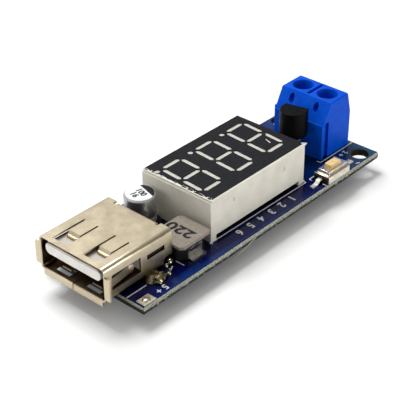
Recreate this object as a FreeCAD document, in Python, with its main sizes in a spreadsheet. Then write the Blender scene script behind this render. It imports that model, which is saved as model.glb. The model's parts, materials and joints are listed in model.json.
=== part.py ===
import FreeCAD, Part
import os
import Sketcher

# Buck converter module: a board with a USB socket at one end, a three digit voltmeter in the
# middle and a two pole screw terminal at the other end.
# Origin at the middle of the module, on the surface its pins stand on. +X points to the screw
# terminal, +Y to the far long edge, +Z up through the display. Millimetres.

os.makedirs("parts", exist_ok=True)
doc = FreeCAD.newDocument("buck_converter_module")
sheet = doc.addObject("Spreadsheet::Sheet", "Sizes")

SIZES = {
    # Board
    "board_width": 21.2, "board_thickness": 1.2, "score_depth": 0.4, "score_width": 0.17,
    "stand_height": 2.4, "mount_hole": 3.1, "mount_inset_x": 2.45, "mount_inset_y": 2.07,
    "pin_room": 0.2,
    # Places along the board, one piece after another from the socket to the terminal
    "usb_overhang": 3.15, "usb_to_coil": 0.3, "coil_to_display": 0.55,
    "display_to_regulator": 3.15, "regulator_to_terminal": 0.55, "terminal_to_edge": 0.9,
    # USB socket shell, one folded sheet
    "usb_length": 13.6, "usb_width": 13.25, "usb_height": 5.72, "usb_sheet": 0.3,
    "usb_bend": 0.65, "usb_seat": 0.33, "usb_shift": 0.45, "usb_seam": 0.14,
    "flange_reach": 0.95, "flange_low": 0.67, "flange_high": 4.35, "flange_bend": 0.22,
    "lip_drop": 0.8, "lip_width": 12.0,
    "window_front": 0.85, "window_rear": 7.1, "window_width": 3.0, "window_spacing": 6.24,
    "spring_width": 2.35, "spring_tip_width": 1.8, "spring_run": 0.35, "spring_dip": 0.45,
    "spring_foot": 0.45, "spring_flare": 0.12,
    "top_spring_bend": 3.8, "bottom_spring_bend": 2.6,
    "side_window_front": 1.45, "side_window_rear": 7.15, "side_window_low": 1.57,
    "side_window_high": 4.07, "side_spring_height": 1.4, "side_spring_length": 4.7,
    "side_spring_dip": 0.5, "side_spring_knee": 3.75, "side_spring_tip_dip": 0.4,
    "side_spring_round": 0.62,
    "slot_front": 8.45, "slot_rear": 12.05, "slot_low": 2.97, "slot_high": 3.77,
    "tail_cut_length": 1.8, "tail_cut_height": 1.45, "tail_cut_round": 0.6,
    "flap_width": 7.8, "flap_foot": 0.9, "flap_notch": 0.6, "flap_notch_depth": 0.75,
    "tab_front": 8.1, "tab_width": 2.2, "tab_point": 0.5,
    # USB insulator and contacts
    "tongue_gap": 0.75, "tongue_thickness": 1.85, "tongue_drop": 0.5, "tongue_front": 0.25,
    "tongue_round": 0.8, "insulator_play": 0.03, "insulator_depth": 2.7,
    "insulator_from_rear": 2.3, "insulator_hood": 1.4, "barb_room": 0.9, "contact_thickness": 0.25,
    "contact_width": 0.6, "contact_inner_pitch": 2.0, "contact_outer_pitch": 7.0,
    "contact_front": 1.6, "contact_from_rear": 1.55,
    # Seven segment display
    "display_length": 22.5, "display_width": 14.0, "display_height": 7.15,
    "display_wall": 0.8, "display_break": 0.3, "display_recess": 2.0, "display_slot_height": 0.85,
    "display_slot_length": 20.0, "digit_pitch": 7.47, "digit_shift": 0.1,
    "digit_height": 8.94, "digit_width": 4.17, "segment_width": 0.78, "segment_gap": 0.25,
    "digit_rise": 0.3, "digit_slant": 0.62, "point_size": 0.9, "point_side": 2.81,
    "face_thickness": 0.12, "face_rim": 0.35, "led_board_thickness": 1.0,
    "display_pin": 0.45, "pin_pitch": 2.54, "pin_row_spacing": 10.16,
    # Output smoothing capacitor, surface mounted
    "can_diameter": 5.0, "can_height": 4.85, "can_groove": 0.18, "can_groove_height": 1.2,
    "can_break": 0.25, "cap_base_width": 5.3, "cap_base_height": 0.7, "cap_base_corner": 0.9,
    "cap_to_display": 0.5, "cap_offset": 4.5, "cap_lead_width": 0.65, "cap_lead_reach": 0.45,
    "lead_sheet": 0.2,
    # Moulded power coil
    "coil_length": 6.7, "coil_width": 6.4, "coil_height": 3.05, "coil_top": 0.75,
    "coil_corner": 0.55, "coil_neck_corner": 1.1, "coil_overhang": 0.45,
    "coil_offset": 4.65, "coil_clip_width": 3.0, "coil_clip_height": 2.0,
    "coil_slot_height": 0.35, "coil_slot_length": 2.1, "coil_slot_drop": 0.42,
    "coil_clip_foot": 0.9, "coil_clip_sheet": 0.25, "coil_drum": 1.2,
    "coil_window_height": 1.2,
    # Push switch
    "switch_length": 5.6, "switch_width": 3.0, "switch_skirt_height": 1.2,
    "switch_cover_height": 1.9, "switch_step": 0.4, "switch_cover_sheet": 0.2,
    "switch_edge_gap": 0.1, "switch_to_terminal": 2.25, "switch_base_height": 1.0,
    "switch_base_reach": 0.35, "button_length": 2.55, "button_width": 1.4,
    "button_height": 2.5, "button_play": 0.05, "button_flange": 0.3,
    "button_flange_height": 0.35, "button_travel": 0.25, "switch_lead_width": 0.7,
    "switch_lead_reach": 2.35, "switch_lead_rise": 0.75, "switch_lead_knee": 0.6,
    "switch_lead_foot": 1.24, "dome_rise": 0.3, "dome_shoulder": 0.45,
    "dome_skin": 0.1,
    # Screw terminal
    "terminal_depth": 7.65, "terminal_height": 9.96, "pole_pitch": 5.0,
    "terminal_back_ledge": 6.4, "terminal_back_lean": 2.0, "terminal_back_draft": 0.15,
    "terminal_front_ledge": 6.4, "terminal_break": 0.15,
    "terminal_front_lean": 0.9, "screw_hole": 3.5, "screw_place": 4.35,
    "pole_groove": 0.6, "pole_groove_depth": 0.5, "pole_groove_inset": 0.4,
    "wire_entry_width": 3.7, "wire_entry_low": 0.7, "wire_entry_high": 5.9,
    "wire_room_back": 2.1, "key_width": 1.1, "key_flare": 0.15, "key_depth": 0.5,
    "key_height": 6.6, "key_place": 0.6, "sight_slot_width": 0.9,
    "sight_slot_depth": 2.2, "sight_slot_low": 7.7, "sight_slot_high": 9.5,
    "clamp_sheet": 0.7, "clamp_width": 3.4, "clamp_depth": 4.4, "terminal_pin": 1.0,
    "screw_shank": 2.6, "screw_head": 3.3, "screw_head_height": 1.5, "screw_drive_width": 0.5,
    "screw_drive_length": 2.5, "screw_drive_depth": 0.7, "screw_break": 0.2,
    "screw_thread_play": 0.05, "clamp_play": 0.05,
    "guard_sheet": 0.3, "guard_width": 3.1, "guard_length": 3.4, "guard_lip": 0.6,
    # Voltage regulator for the meter, standing on three legs
    "regulator_radius": 2.35, "regulator_flat": 1.265, "regulator_height": 4.6,
    "regulator_lift": 4.3, "regulator_offset": -0.44, "regulator_yaw": 12.0,
    "regulator_break": 0.1, "regulator_leg": 0.36, "regulator_leg_pitch": 1.27,
    # Tinned output pads
    "pad_length": 2.4, "pad_width": 1.7, "pad_from_end": 0.3, "pad_from_side": 0.25,
    "pad_thickness": 0.12, "pad_hole": 0.8,
    # Chips and small parts under the board
    "chip_gap": 0.1, "chip_body_height": 1.45, "buck_length": 4.9, "buck_width": 3.9,
    "buck_pitch": 1.27, "meter_length": 6.5, "meter_width": 4.4, "meter_pitch": 0.65,
    "chip_draft": 0.12, "dimple_inset": 0.8, "dimple_size": 0.45, "chip_lead_width": 0.38,
    "meter_lead_width": 0.24, "chip_lead_reach": 1.0,
    "meter_lead_reach": 0.95, "chip_lead_knee": 0.3, "chip_lead_ankle": 0.5,
    "chip_lead_sheet": 0.18, "underside_shift": 1.35, "diode_from_edge": 2.6,
    "diode_length": 4.3, "diode_width": 2.6, "diode_height": 1.75, "diode_tab_width": 1.45,
    "diode_tab_reach": 0.45, "diode_tab_foot": 0.9,
    "resistor_length": 2.0, "resistor_width": 1.25, "resistor_height": 0.5,
    "resistor_pitch": 2.3, "small_row_inset": 2.7, "ceramic_height": 1.1,
    "cap_end": 0.4, "cap_end_skin": 0.05,
    # Solder
    "joint_height": 1.1, "joint_spread": 1.0, "fine_joint_spread": 0.5, "joint_tip": 0.14,
    "tab_joint_height": 0.9, "tab_joint_reach": 1.1, "tab_joint_width": 1.84,
    "tab_mound_shift": 0.28, "tab_mound_top": 0.75, "tab_joint_slope": 0.5,
}

for row, (name, value) in enumerate(SIZES.items(), start=1):
    sheet.set(f"A{row}", name)
    sheet.set(f"B{row}", str(value))
    sheet.setAlias(f"B{row}", name)
doc.recompute()


class Size:
    """A length with its number now and the formula that ties it to the sheet."""

    def __init__(self, number, formula):
        self.number = number
        self.formula = formula

    def __add__(self, other):
        other = as_size(other)
        return Size(self.number + other.number, f"({self.formula} + {other.formula})")

    def __sub__(self, other):
        other = as_size(other)
        return Size(self.number - other.number, f"({self.formula} - {other.formula})")

    def __mul__(self, factor):
        factor = as_size(factor)
        return Size(self.number * factor.number, f"({self.formula} * {factor.formula})")

    def __truediv__(self, factor):
        factor = as_size(factor)
        return Size(self.number / factor.number, f"({self.formula} / {factor.formula})")

    def __neg__(self):
        return self * -1

    def __radd__(self, other):
        return as_size(other) + self

    def __rsub__(self, other):
        return as_size(other) - self

    def __rmul__(self, factor):
        return self * factor


class Sheet:
    """Reads a named size, such as mm.board_width, out of the sheet."""

    def __getattr__(self, name):
        return Size(float(sheet.get(name)), f"Sizes.{name}")


def as_size(value):
    return value if isinstance(value, Size) else Size(float(value), f"({float(value)!r})")


def root(value):
    return Size(value.number ** 0.5, f"sqrt({value.formula})")


mm = Sheet()
ZERO = as_size(0)


def tie(item, **formulas):
    """Binds properties to sizes; a double underscore in a name stands for a dot."""
    for name, value in formulas.items():
        item.setExpression(name.replace("__", "."), as_size(value).formula)


def origin_of(body, role):
    return next(item for item in body.Origin.OriginFeatures if item.Role == role)


class Outline:
    """A sketch on one of a body's own planes, whose corners are tied to the sheet."""

    def __init__(self, body, name, plane="XY_Plane", offset=None):
        self.sketch = body.newObject("Sketcher::SketchObject", name)
        self.sketch.AttachmentSupport = [(origin_of(body, plane), "")]
        self.sketch.MapMode = "FlatFace"
        if offset is not None:
            tie(self.sketch, AttachmentOffset__Base__z=offset)

    def fix(self, kind, geometry, point, value):
        value = as_size(value)
        spot = (geometry, value.number) if point is None else (-1, 1, geometry, point, value.number)
        row = self.sketch.addConstraint(Sketcher.Constraint(kind, *spot))
        self.sketch.setExpression(f"Constraints[{row}]", value.formula)

    def polygon(self, corners):
        """A closed loop of straight lines through the corners."""
        corners = [(as_size(x), as_size(y)) for x, y in corners]
        points = [FreeCAD.Vector(x.number, y.number, 0) for x, y in corners]
        first = self.sketch.GeometryCount
        count = len(points)
        lines = [Part.LineSegment(points[i], points[(i + 1) % count]) for i in range(count)]
        self.sketch.addGeometry(lines, False)
        joins = [Sketcher.Constraint("Coincident", first + i, 2, first + (i + 1) % count, 1)
                 for i in range(count)]
        self.sketch.addConstraint(joins)
        for i, (x, y) in enumerate(corners):
            self.fix("DistanceX", first + i, 1, x)
            self.fix("DistanceY", first + i, 1, y)
        return self

    def box(self, x0, y0, x1, y1):
        return self.polygon([(x0, y0), (x1, y0), (x1, y1), (x0, y1)])

    def centred_box(self, x, y, length, width):
        return self.box(x - length / 2, y - width / 2, x + length / 2, y + width / 2)

    def circle(self, x, y, diameter):
        x, y, radius = as_size(x), as_size(y), as_size(diameter) / 2
        centre = FreeCAD.Vector(x.number, y.number, 0)
        row = self.sketch.addGeometry(Part.Circle(centre, FreeCAD.Vector(0, 0, 1), radius.number))
        self.fix("DistanceX", row, 3, x)
        self.fix("DistanceY", row, 3, y)
        self.fix("Radius", row, None, radius)
        return self


def extrude(body, kind, name, outline, length, middle=False, back=False):
    feature = body.newObject(kind, name)
    feature.Profile = outline.sketch
    tie(feature, Length=length)
    feature.SideType = "Symmetric" if middle else "One side"
    feature.Reversed = back
    body.Tip = feature
    return feature


def pad(body, name, outline, length, **options):
    return extrude(body, "PartDesign::Pad", name, outline, length, **options)


def pocket(body, name, outline, length, **options):
    """Cuts the outline out of the body, and makes sure that something was cut."""
    doc.recompute()
    before = body.Shape.Volume
    feature = extrude(body, "PartDesign::Pocket", name, outline, length, **options)
    doc.recompute()
    assert body.Shape.Volume < before - 1e-6, f"{body.Name}.{name} cuts nothing"
    return feature


def edges_where(shape, wanted):
    """Names of the edges for which wanted(edge) is true."""
    return [f"Edge{i}" for i, edge in enumerate(shape.Edges, start=1) if wanted(edge)]


def runs_along(edge, axis):
    """True for a straight edge that runs along the axis 0, 1 or 2."""
    if not isinstance(edge.Curve, Part.Line):
        return False
    return abs(abs(edge.Curve.Direction[axis]) - 1) < 1e-6


def near(value, size):
    return abs(value - as_size(size).number) < 1e-3


def soften(body, kind, name, amount, wanted):
    """A fillet or a chamfer on the edges of the body's last feature that wanted picks."""
    doc.recompute()
    base = body.Tip
    feature = body.newObject(kind, name)
    names = edges_where(base.Shape, wanted)
    assert names, f"{body.Name}.{name} finds no edge"
    feature.Base = (base, names)
    if kind == "PartDesign::Fillet":
        tie(feature, Radius=amount)
    else:
        tie(feature, Size=amount)
    body.Tip = feature
    doc.recompute()
    assert feature.isValid(), f"{body.Name}.{name} can't be made"
    return feature


def fillet(body, name, radius, wanted):
    return soften(body, "PartDesign::Fillet", name, radius, wanted)


def chamfer(body, name, width, wanted):
    return soften(body, "PartDesign::Chamfer", name, width, wanted)


def repeat_along(body, name, features, axis, pitch, count):
    pattern = body.newObject("PartDesign::LinearPattern", name)
    pattern.Originals = features
    pattern.Direction = (origin_of(body, axis), [""])
    pattern.Mode = "Spacing"
    tie(pattern, Offset=pitch)
    pattern.Occurrences = count
    body.Tip = pattern
    return pattern


def new_body(name):
    body = doc.addObject("PartDesign::Body", name)
    body.AllowCompound = True
    body.Label = name
    return body


sub_parts = []


def seat(item, x, y, z, turn=None):
    """Puts a finished sub-part at its place in the module's frame."""
    places = [as_size(value) for value in (x, y, z)]
    rotation = turn if turn is not None else FreeCAD.Rotation()
    item.Placement = FreeCAD.Placement(FreeCAD.Vector(*[p.number for p in places]), rotation)
    for axis, place in zip("xyz", places):
        item.setExpression(f"Placement.Base.{axis}", place.formula)
    sub_parts.append(item)


# Levels of the board and places along it, in the module's frame
board_bottom = mm.stand_height
board_top = board_bottom + mm.board_thickness
usb_on_board = mm.usb_length - mm.usb_overhang
coil_from_end = usb_on_board + mm.usb_to_coil
display_from_end = coil_from_end + mm.coil_length + mm.coil_to_display
regulator_from_end = (display_from_end + mm.display_length + mm.display_to_regulator
                      + mm.regulator_radius)
terminal_from_end = regulator_from_end + mm.regulator_flat + mm.regulator_to_terminal
board_length = terminal_from_end + mm.terminal_depth + mm.terminal_to_edge
usb_front = -(board_length + mm.usb_overhang) / 2
board_start = usb_front + mm.usb_overhang
board_end = board_start + board_length
board_near = -mm.board_width / 2
usb_y = mm.usb_shift
contact_row = mm.usb_length - mm.contact_from_rear
tab_middle = mm.tab_front + mm.tab_width / 2
tab_y = (mm.usb_width - mm.usb_sheet) / 2
display_x = board_start + display_from_end + mm.display_length / 2
coil_x = board_start + coil_from_end + mm.coil_length / 2
coil_y = -mm.coil_offset
capacitor_x = (board_start + display_from_end - mm.cap_to_display - mm.cap_base_width / 2)
capacitor_y = mm.cap_offset
regulator_x = board_start + regulator_from_end
regulator_y = mm.regulator_offset
terminal_x = board_start + terminal_from_end
screw_x = terminal_x + mm.screw_place
switch_x = terminal_x - mm.switch_to_terminal
switch_y = board_near + mm.switch_edge_gap + mm.switch_width / 2
mount_x = board_end - mm.mount_inset_x
mount_y = mm.board_width / 2 - mm.mount_inset_y
pin_length = mm.board_thickness + mm.stand_height

DISPLAY_PINS = 6
DIGITS = 3
BUCK_PINS_A_SIDE = 4
METER_PINS_A_SIDE = 10
RESISTORS = 5
CERAMIC_CAPACITORS = 4
UPSIDE_DOWN = FreeCAD.Rotation(FreeCAD.Vector(1, 0, 0), 180)


def display_pin_places():
    """Two rows of pins under the display; the far row lacks its last pin."""
    half = (DISPLAY_PINS - 1) / 2
    for side in (-1, 1):
        count = DISPLAY_PINS if side < 0 else DISPLAY_PINS - 1
        for i in range(count):
            yield (i - half) * mm.pin_pitch, side * mm.pin_row_spacing / 2


def contact_sides():
    """Places of the four USB contacts across the socket."""
    yield from (-mm.contact_outer_pitch / 2, -mm.contact_inner_pitch / 2,
                mm.contact_inner_pitch / 2, mm.contact_outer_pitch / 2)


def pole_sides():
    yield from (-mm.pole_pitch / 2, mm.pole_pitch / 2)


def regulator_leg_places():
    """The three legs stand in a row along the regulator's flat, turned with it."""
    yield from (-mm.regulator_leg_pitch, ZERO, mm.regulator_leg_pitch)


def make_pcb():
    """Glass fibre board, scored and snapped along its long edges. Solder fills the hole round
    each pin, so the board is drawn closed up to the pins."""
    body = new_body("pcb")
    half_width = mm.board_width / 2
    corner = half_width - mm.score_width
    top = mm.board_thickness - mm.score_depth
    section = Outline(body, "section", "YZ_Plane")
    section.polygon([(-corner, 0), (corner, 0), (half_width, mm.score_depth), (half_width, top),
                     (corner, mm.board_thickness), (-corner, mm.board_thickness),
                     (-half_width, top), (-half_width, mm.score_depth)])
    pad(body, "plate", section, board_length)
    mounts = Outline(body, "mount_holes")
    for side in (-1, 1):
        mounts.circle(board_length - mm.mount_inset_x, side * mount_y, mm.mount_hole)
    pocket(body, "mount_bores", mounts, mm.board_thickness, back=True)
    pins = Outline(body, "pin_holes")
    for x, y in display_pin_places():
        pins.centred_box(display_x - board_start + x, y, mm.display_pin, mm.display_pin)
    for y in contact_sides():
        pins.centred_box(contact_row - mm.usb_overhang, usb_y + y,
                         mm.contact_thickness, mm.contact_width)
    for y in pole_sides():
        pins.centred_box(screw_x - board_start, y, mm.terminal_pin, mm.terminal_pin)
    for y in regulator_leg_places():
        pins.centred_box(regulator_x - board_start, regulator_y + y,
                         mm.regulator_leg, mm.regulator_leg)
    for side in (-1, 1):
        pins.centred_box(tab_middle - mm.usb_overhang, usb_y + side * tab_y,
                         mm.tab_width, mm.usb_sheet)
        pins.circle(mm.pad_from_end + mm.pad_length / 2,
                    side * (half_width - mm.pad_from_side - mm.pad_width / 2), mm.pad_hole)
    pocket(body, "pin_bores", pins, mm.board_thickness, back=True)
    seat(body, board_start, ZERO, board_bottom)


def make_usb_shell():
    """Socket shell folded from one plated sheet: a seamed tube with window springs lanced out
    of its four walls, flanges at its mouth, a flap folded down behind and two solder tabs."""
    body = new_body("usb_shell")
    width, height, sheet_t = mm.usb_width / 2, mm.usb_height, mm.usb_sheet
    tube = Outline(body, "tube_section", "YZ_Plane")
    tube.box(-width, 0, width, height)
    tube.box(sheet_t - width, sheet_t, width - sheet_t, height - sheet_t)
    pad(body, "tube", tube, mm.usb_length)

    def outer(edge):
        middle = edge.CenterOfMass
        return (runs_along(edge, 0) and near(abs(middle.y), width)
                and (near(middle.z, 0) or near(middle.z, height)))

    def inner(edge):
        middle = edge.CenterOfMass
        return (runs_along(edge, 0) and near(abs(middle.y), width - sheet_t)
                and (near(middle.z, sheet_t) or near(middle.z, height - sheet_t)))

    fillet(body, "outer_bends", mm.usb_bend, outer)
    fillet(body, "inner_bends", mm.usb_bend - sheet_t, inner)

    flanges = Outline(body, "flange_section", "XY_Plane", mm.flange_low)
    for side in (-1, 1):
        flanges.box(0, side * (width - sheet_t / 2), sheet_t, side * (width + mm.flange_reach))
    pad(body, "side_flanges", flanges, mm.flange_high - mm.flange_low)
    lip = Outline(body, "lip_section", "XZ_Plane")
    lip.box(0, -mm.lip_drop, sheet_t, sheet_t / 2)
    pad(body, "bottom_lip", lip, mm.lip_width, middle=True)

    def mouth(edge):
        middle = edge.CenterOfMass
        at_side = runs_along(edge, 2) and near(abs(middle.y), width - sheet_t)
        at_floor = runs_along(edge, 1) and near(middle.z, sheet_t)
        return near(middle.x, 0) and (at_side or at_floor)

    fillet(body, "mouth_bends", mm.flange_bend, mouth)

    windows = Outline(body, "windows")
    for side in (-1, 1):
        windows.centred_box((mm.window_front + mm.window_rear) / 2, side * mm.window_spacing / 2,
                            mm.window_rear - mm.window_front, mm.window_width)
    pocket(body, "top_and_bottom_windows", windows, height, back=True)
    side_cuts = Outline(body, "side_cuts", "XZ_Plane")
    side_cuts.box(mm.side_window_front, mm.side_window_low,
                  mm.side_window_rear, mm.side_window_high)
    side_cuts.box(mm.slot_front, mm.slot_low, mm.slot_rear, mm.slot_high)
    side_cuts.box(mm.usb_length - mm.tail_cut_length, -sheet_t,
                  mm.usb_length + sheet_t, mm.tail_cut_height)
    pocket(body, "side_windows", side_cuts, mm.usb_width, middle=True)

    def tail_corner(edge):
        middle = edge.CenterOfMass
        return (runs_along(edge, 1) and near(middle.z, mm.tail_cut_height)
                and near(middle.x, mm.usb_length - mm.tail_cut_length)
                and abs(middle.y) > width.number - 2 * sheet_t.number)

    fillet(body, "tail_rounds", mm.tail_cut_round, tail_corner)

    def window_springs(name, face, inward, bend):
        """Two tongues rooted at the windows' rear that dip into the socket and end in a foot."""
        slope = root(mm.spring_run * mm.spring_run + mm.spring_dip * mm.spring_dip)
        mitre = sheet_t * (slope - mm.spring_run) / mm.spring_dip
        low = bend - mm.spring_run
        tip, tip_dip = low - mm.spring_foot, mm.spring_dip - mm.spring_flare
        profile = Outline(body, f"{name}_profile", "XZ_Plane", mm.window_spacing / 2)
        profile.polygon([
            (mm.window_rear, face), (bend, face),
            (low, face + inward * mm.spring_dip), (tip, face + inward * tip_dip),
            (tip, face + inward * (tip_dip + sheet_t)),
            (low + mitre, face + inward * (mm.spring_dip + sheet_t)),
            (bend + mitre, face + inward * sheet_t), (mm.window_rear, face + inward * sheet_t)])
        first = pad(body, f"{name}_spring", profile, mm.spring_width, middle=True)
        repeat_along(body, f"{name}_springs", [first], "Y_Axis", mm.window_spacing, 2)
        tips = Outline(body, f"{name}_tips", "XY_Plane")
        for side in (-1, 1):
            for edge in (-1, 1):
                middle = side * mm.window_spacing / 2
                tips.polygon([
                    (bend, middle + edge * (mm.spring_width / 2 + mm.usb_seam)),
                    (bend, middle + edge * mm.spring_width / 2),
                    (tip - mm.usb_seam, middle + edge * mm.spring_tip_width / 2),
                    (tip - mm.usb_seam, middle + edge * (mm.spring_width / 2 + mm.usb_seam))])
        return tips

    tips = window_springs("top", height, -1, mm.top_spring_bend)
    pocket(body, "top_tip_trim", tips, height, back=True)
    tips = window_springs("bottom", ZERO, 1, mm.bottom_spring_bend)
    pocket(body, "bottom_tip_trim", tips, mm.spring_dip + 2 * sheet_t, back=True)

    middle_z = (mm.side_window_low + mm.side_window_high) / 2
    tip_x = mm.side_window_front + mm.side_spring_length
    knee_x = mm.side_window_front + mm.side_spring_knee
    side_springs = Outline(body, "side_spring_profile", "XY_Plane",
                           middle_z - mm.side_spring_height / 2)
    for side in (-1, 1):
        side_springs.polygon([
            (mm.side_window_front, side * width), (knee_x, side * (width - mm.side_spring_dip)),
            (tip_x, side * (width - mm.side_spring_tip_dip)),
            (tip_x, side * (width - mm.side_spring_tip_dip - sheet_t)),
            (knee_x, side * (width - mm.side_spring_dip - sheet_t)),
            (mm.side_window_front, side * (width - sheet_t))])
    pad(body, "side_springs", side_springs, mm.side_spring_height)

    def spring_tip(edge):
        return (abs(edge.CenterOfMass.x - tip_x.number) < 1e-3 and runs_along(edge, 1)
                and edge.Length < 2 * sheet_t.number)

    fillet(body, "side_spring_tips", mm.side_spring_round, spring_tip)

    flap = Outline(body, "flap_profile", "YZ_Plane", mm.usb_length - sheet_t)
    flap.box(-mm.flap_width / 2, mm.flap_foot, mm.flap_width / 2, height - sheet_t / 2)
    pad(body, "rear_flap", flap, sheet_t)

    def flap_fold(edge):
        middle = edge.CenterOfMass
        return (runs_along(edge, 1) and near(middle.x, mm.usb_length)
                and near(middle.z, height) and abs(middle.y) < mm.flap_width.number / 2)

    notches = Outline(body, "flap_notches", "XY_Plane", height - sheet_t)
    for side in (-1, 1):
        notches.box(mm.usb_length - mm.flap_notch_depth, side * mm.flap_width / 2,
                    mm.usb_length + sheet_t, side * (mm.flap_width / 2 + mm.flap_notch))
    pocket(body, "flap_relief", notches, sheet_t, back=True)
    fillet(body, "flap_bend", mm.usb_bend - sheet_t / 2, flap_fold)

    tabs = Outline(body, "tab_outline", "XZ_Plane", tab_y)
    tab_rear = mm.tab_front + mm.tab_width
    tab_end = -(mm.usb_seat + pin_length)
    tabs.polygon([(mm.tab_front, mm.usb_bend), (mm.tab_front, tab_end + mm.tab_point),
                  (mm.tab_front + mm.tab_point, tab_end), (tab_rear - mm.tab_point, tab_end),
                  (tab_rear, tab_end + mm.tab_point), (tab_rear, mm.usb_bend)])
    tab = pad(body, "solder_tab", tabs, sheet_t, middle=True)
    mirror = body.newObject("PartDesign::Mirrored", "solder_tabs")
    mirror.Originals = [tab]
    mirror.MirrorPlane = (origin_of(body, "XZ_Plane"), [""])
    body.Tip = mirror

    seam = Outline(body, "seam_outline", "XY_Plane", sheet_t)
    seam.centred_box(mm.usb_length / 2, ZERO, mm.usb_length + 2 * sheet_t, mm.usb_seam)
    pocket(body, "seam", seam, mm.lip_drop + 2 * sheet_t)
    seat(body, usb_front, usb_y, board_top + mm.usb_seat)


def contact_points():
    """Side view of one USB contact: blade under the tongue, then a pin down through the board."""
    blade = mm.usb_height - mm.usb_sheet - mm.tongue_drop - mm.tongue_thickness
    low = blade - mm.contact_thickness
    front = contact_row - mm.contact_thickness / 2
    rear = contact_row + mm.contact_thickness / 2
    end = -(mm.usb_seat + pin_length)
    return [(mm.contact_front, low), (front, low), (front, end), (rear, end), (rear, blade),
            (mm.contact_front, blade)]


def make_usb_contacts():
    """Four plated spring contacts."""
    body = new_body("usb_contacts")
    for i, side in enumerate(contact_sides()):
        profile = Outline(body, f"profile_{i}", "XZ_Plane", -side)
        profile.polygon(contact_points())
        pad(body, f"contact_{i}", profile, mm.contact_width, middle=True)
    seat(body, usb_front, usb_y, board_top + mm.usb_seat)


def make_usb_insulator():
    """Moulded block with the tongue that carries the contacts."""
    body = new_body("usb_insulator")
    tongue_top = mm.usb_height - mm.usb_sheet - mm.tongue_drop
    tongue_low = tongue_top - mm.tongue_thickness
    room = mm.usb_width / 2 - mm.usb_sheet - mm.insulator_play
    floor = mm.usb_sheet + mm.insulator_play
    roof = mm.usb_height - mm.usb_sheet - mm.insulator_play
    end = mm.usb_length - mm.insulator_from_rear
    start = end - mm.insulator_depth
    half_tongue = mm.usb_width / 2 - mm.usb_sheet - mm.tongue_gap
    side = Outline(body, "side_view", "XZ_Plane")
    side.polygon([(mm.tongue_front, tongue_low), (start, tongue_low), (start, floor),
                  (end, floor), (end, tongue_low), (end + mm.insulator_hood, tongue_low),
                  (end + mm.insulator_hood, roof), (start, roof), (start, tongue_top),
                  (mm.tongue_front, tongue_top)])
    pad(body, "block", side, 2 * room, middle=True)
    trim = Outline(body, "tongue_sides")
    for hand in (-1, 1):
        trim.box(-mm.tongue_front, hand * half_tongue, start, hand * mm.usb_width)
    pocket(body, "tongue_trim", trim, mm.usb_height, back=True)

    def tongue_edge(edge):
        return runs_along(edge, 0) and near(abs(edge.CenterOfMass.y), half_tongue)

    def block_edge(edge):
        middle = edge.CenterOfMass
        return (runs_along(edge, 0) and near(abs(middle.y), room)
                and (near(middle.z, floor) or near(middle.z, roof)))

    fillet(body, "tongue_rounds", mm.tongue_round, tongue_edge)
    fillet(body, "block_rounds", mm.usb_bend - mm.usb_sheet, block_edge)
    # Rooms for the barbs behind the side slots of the shell
    for side, name in ((-1, "near"), (1, "far")):
        barb = Outline(body, f"{name}_barb_room_outline", "XZ_Plane", -side * (room - mm.barb_room))
        barb.box(mm.slot_front, mm.slot_low, mm.slot_rear, mm.slot_high)
        pocket(body, f"{name}_barb_room", barb, mm.barb_room, back=side > 0)
    for i, place in enumerate(contact_sides()):
        groove = Outline(body, f"groove_{i}", "XZ_Plane", -place)
        groove.polygon(contact_points())
        pocket(body, f"contact_groove_{i}", groove, mm.contact_width, middle=True)
    seat(body, usb_front, usb_y, board_top + mm.usb_seat)


def segment_outlines(outline):
    """Seven bars and the point of one digit. The digit reads from the far long edge, so its
    foot lies towards +Y and its right side towards -X."""
    half_x, half_y = mm.digit_width / 2, mm.digit_height / 2
    bar = mm.segment_width / 2

    def slanted(x, y):
        return x + mm.digit_slant * (y / mm.digit_height), y

    for level in (-1, 0, 1):
        y = level * half_y
        reach = half_x - mm.segment_gap
        outline.polygon([slanted(-reach, y), slanted(-(reach - bar), y - bar),
                         slanted(reach - bar, y - bar), slanted(reach, y),
                         slanted(reach - bar, y + bar), slanted(-(reach - bar), y + bar)])
    for side in (-1, 1):
        for level in (-1, 1):
            x, y = side * half_x, level * half_y / 2
            reach = half_y / 2 - mm.segment_gap
            outline.polygon([slanted(x, y - reach), slanted(x + bar, y - reach + bar),
                             slanted(x + bar, y + reach - bar), slanted(x, y + reach),
                             slanted(x - bar, y + reach - bar), slanted(x - bar, y - reach + bar)])
    outline.circle(-mm.point_side, half_y, mm.point_size)


first_digit = mm.digit_shift - (DIGITS - 1) / 2 * mm.digit_pitch


def digits_on(body, name, level, length, make, **options):
    """Extrudes the outlines of one digit and repeats them along the display."""
    outline = Outline(body, f"{name}_outline", "XY_Plane", level)
    tie(outline.sketch, AttachmentOffset__Base__x=first_digit,
        AttachmentOffset__Base__y=mm.digit_rise)
    segment_outlines(outline)
    first = make(body, f"{name}_first", outline, length, **options)
    repeat_along(body, f"{name}_row", [first], "X_Axis", mm.digit_pitch, DIGITS)


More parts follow.
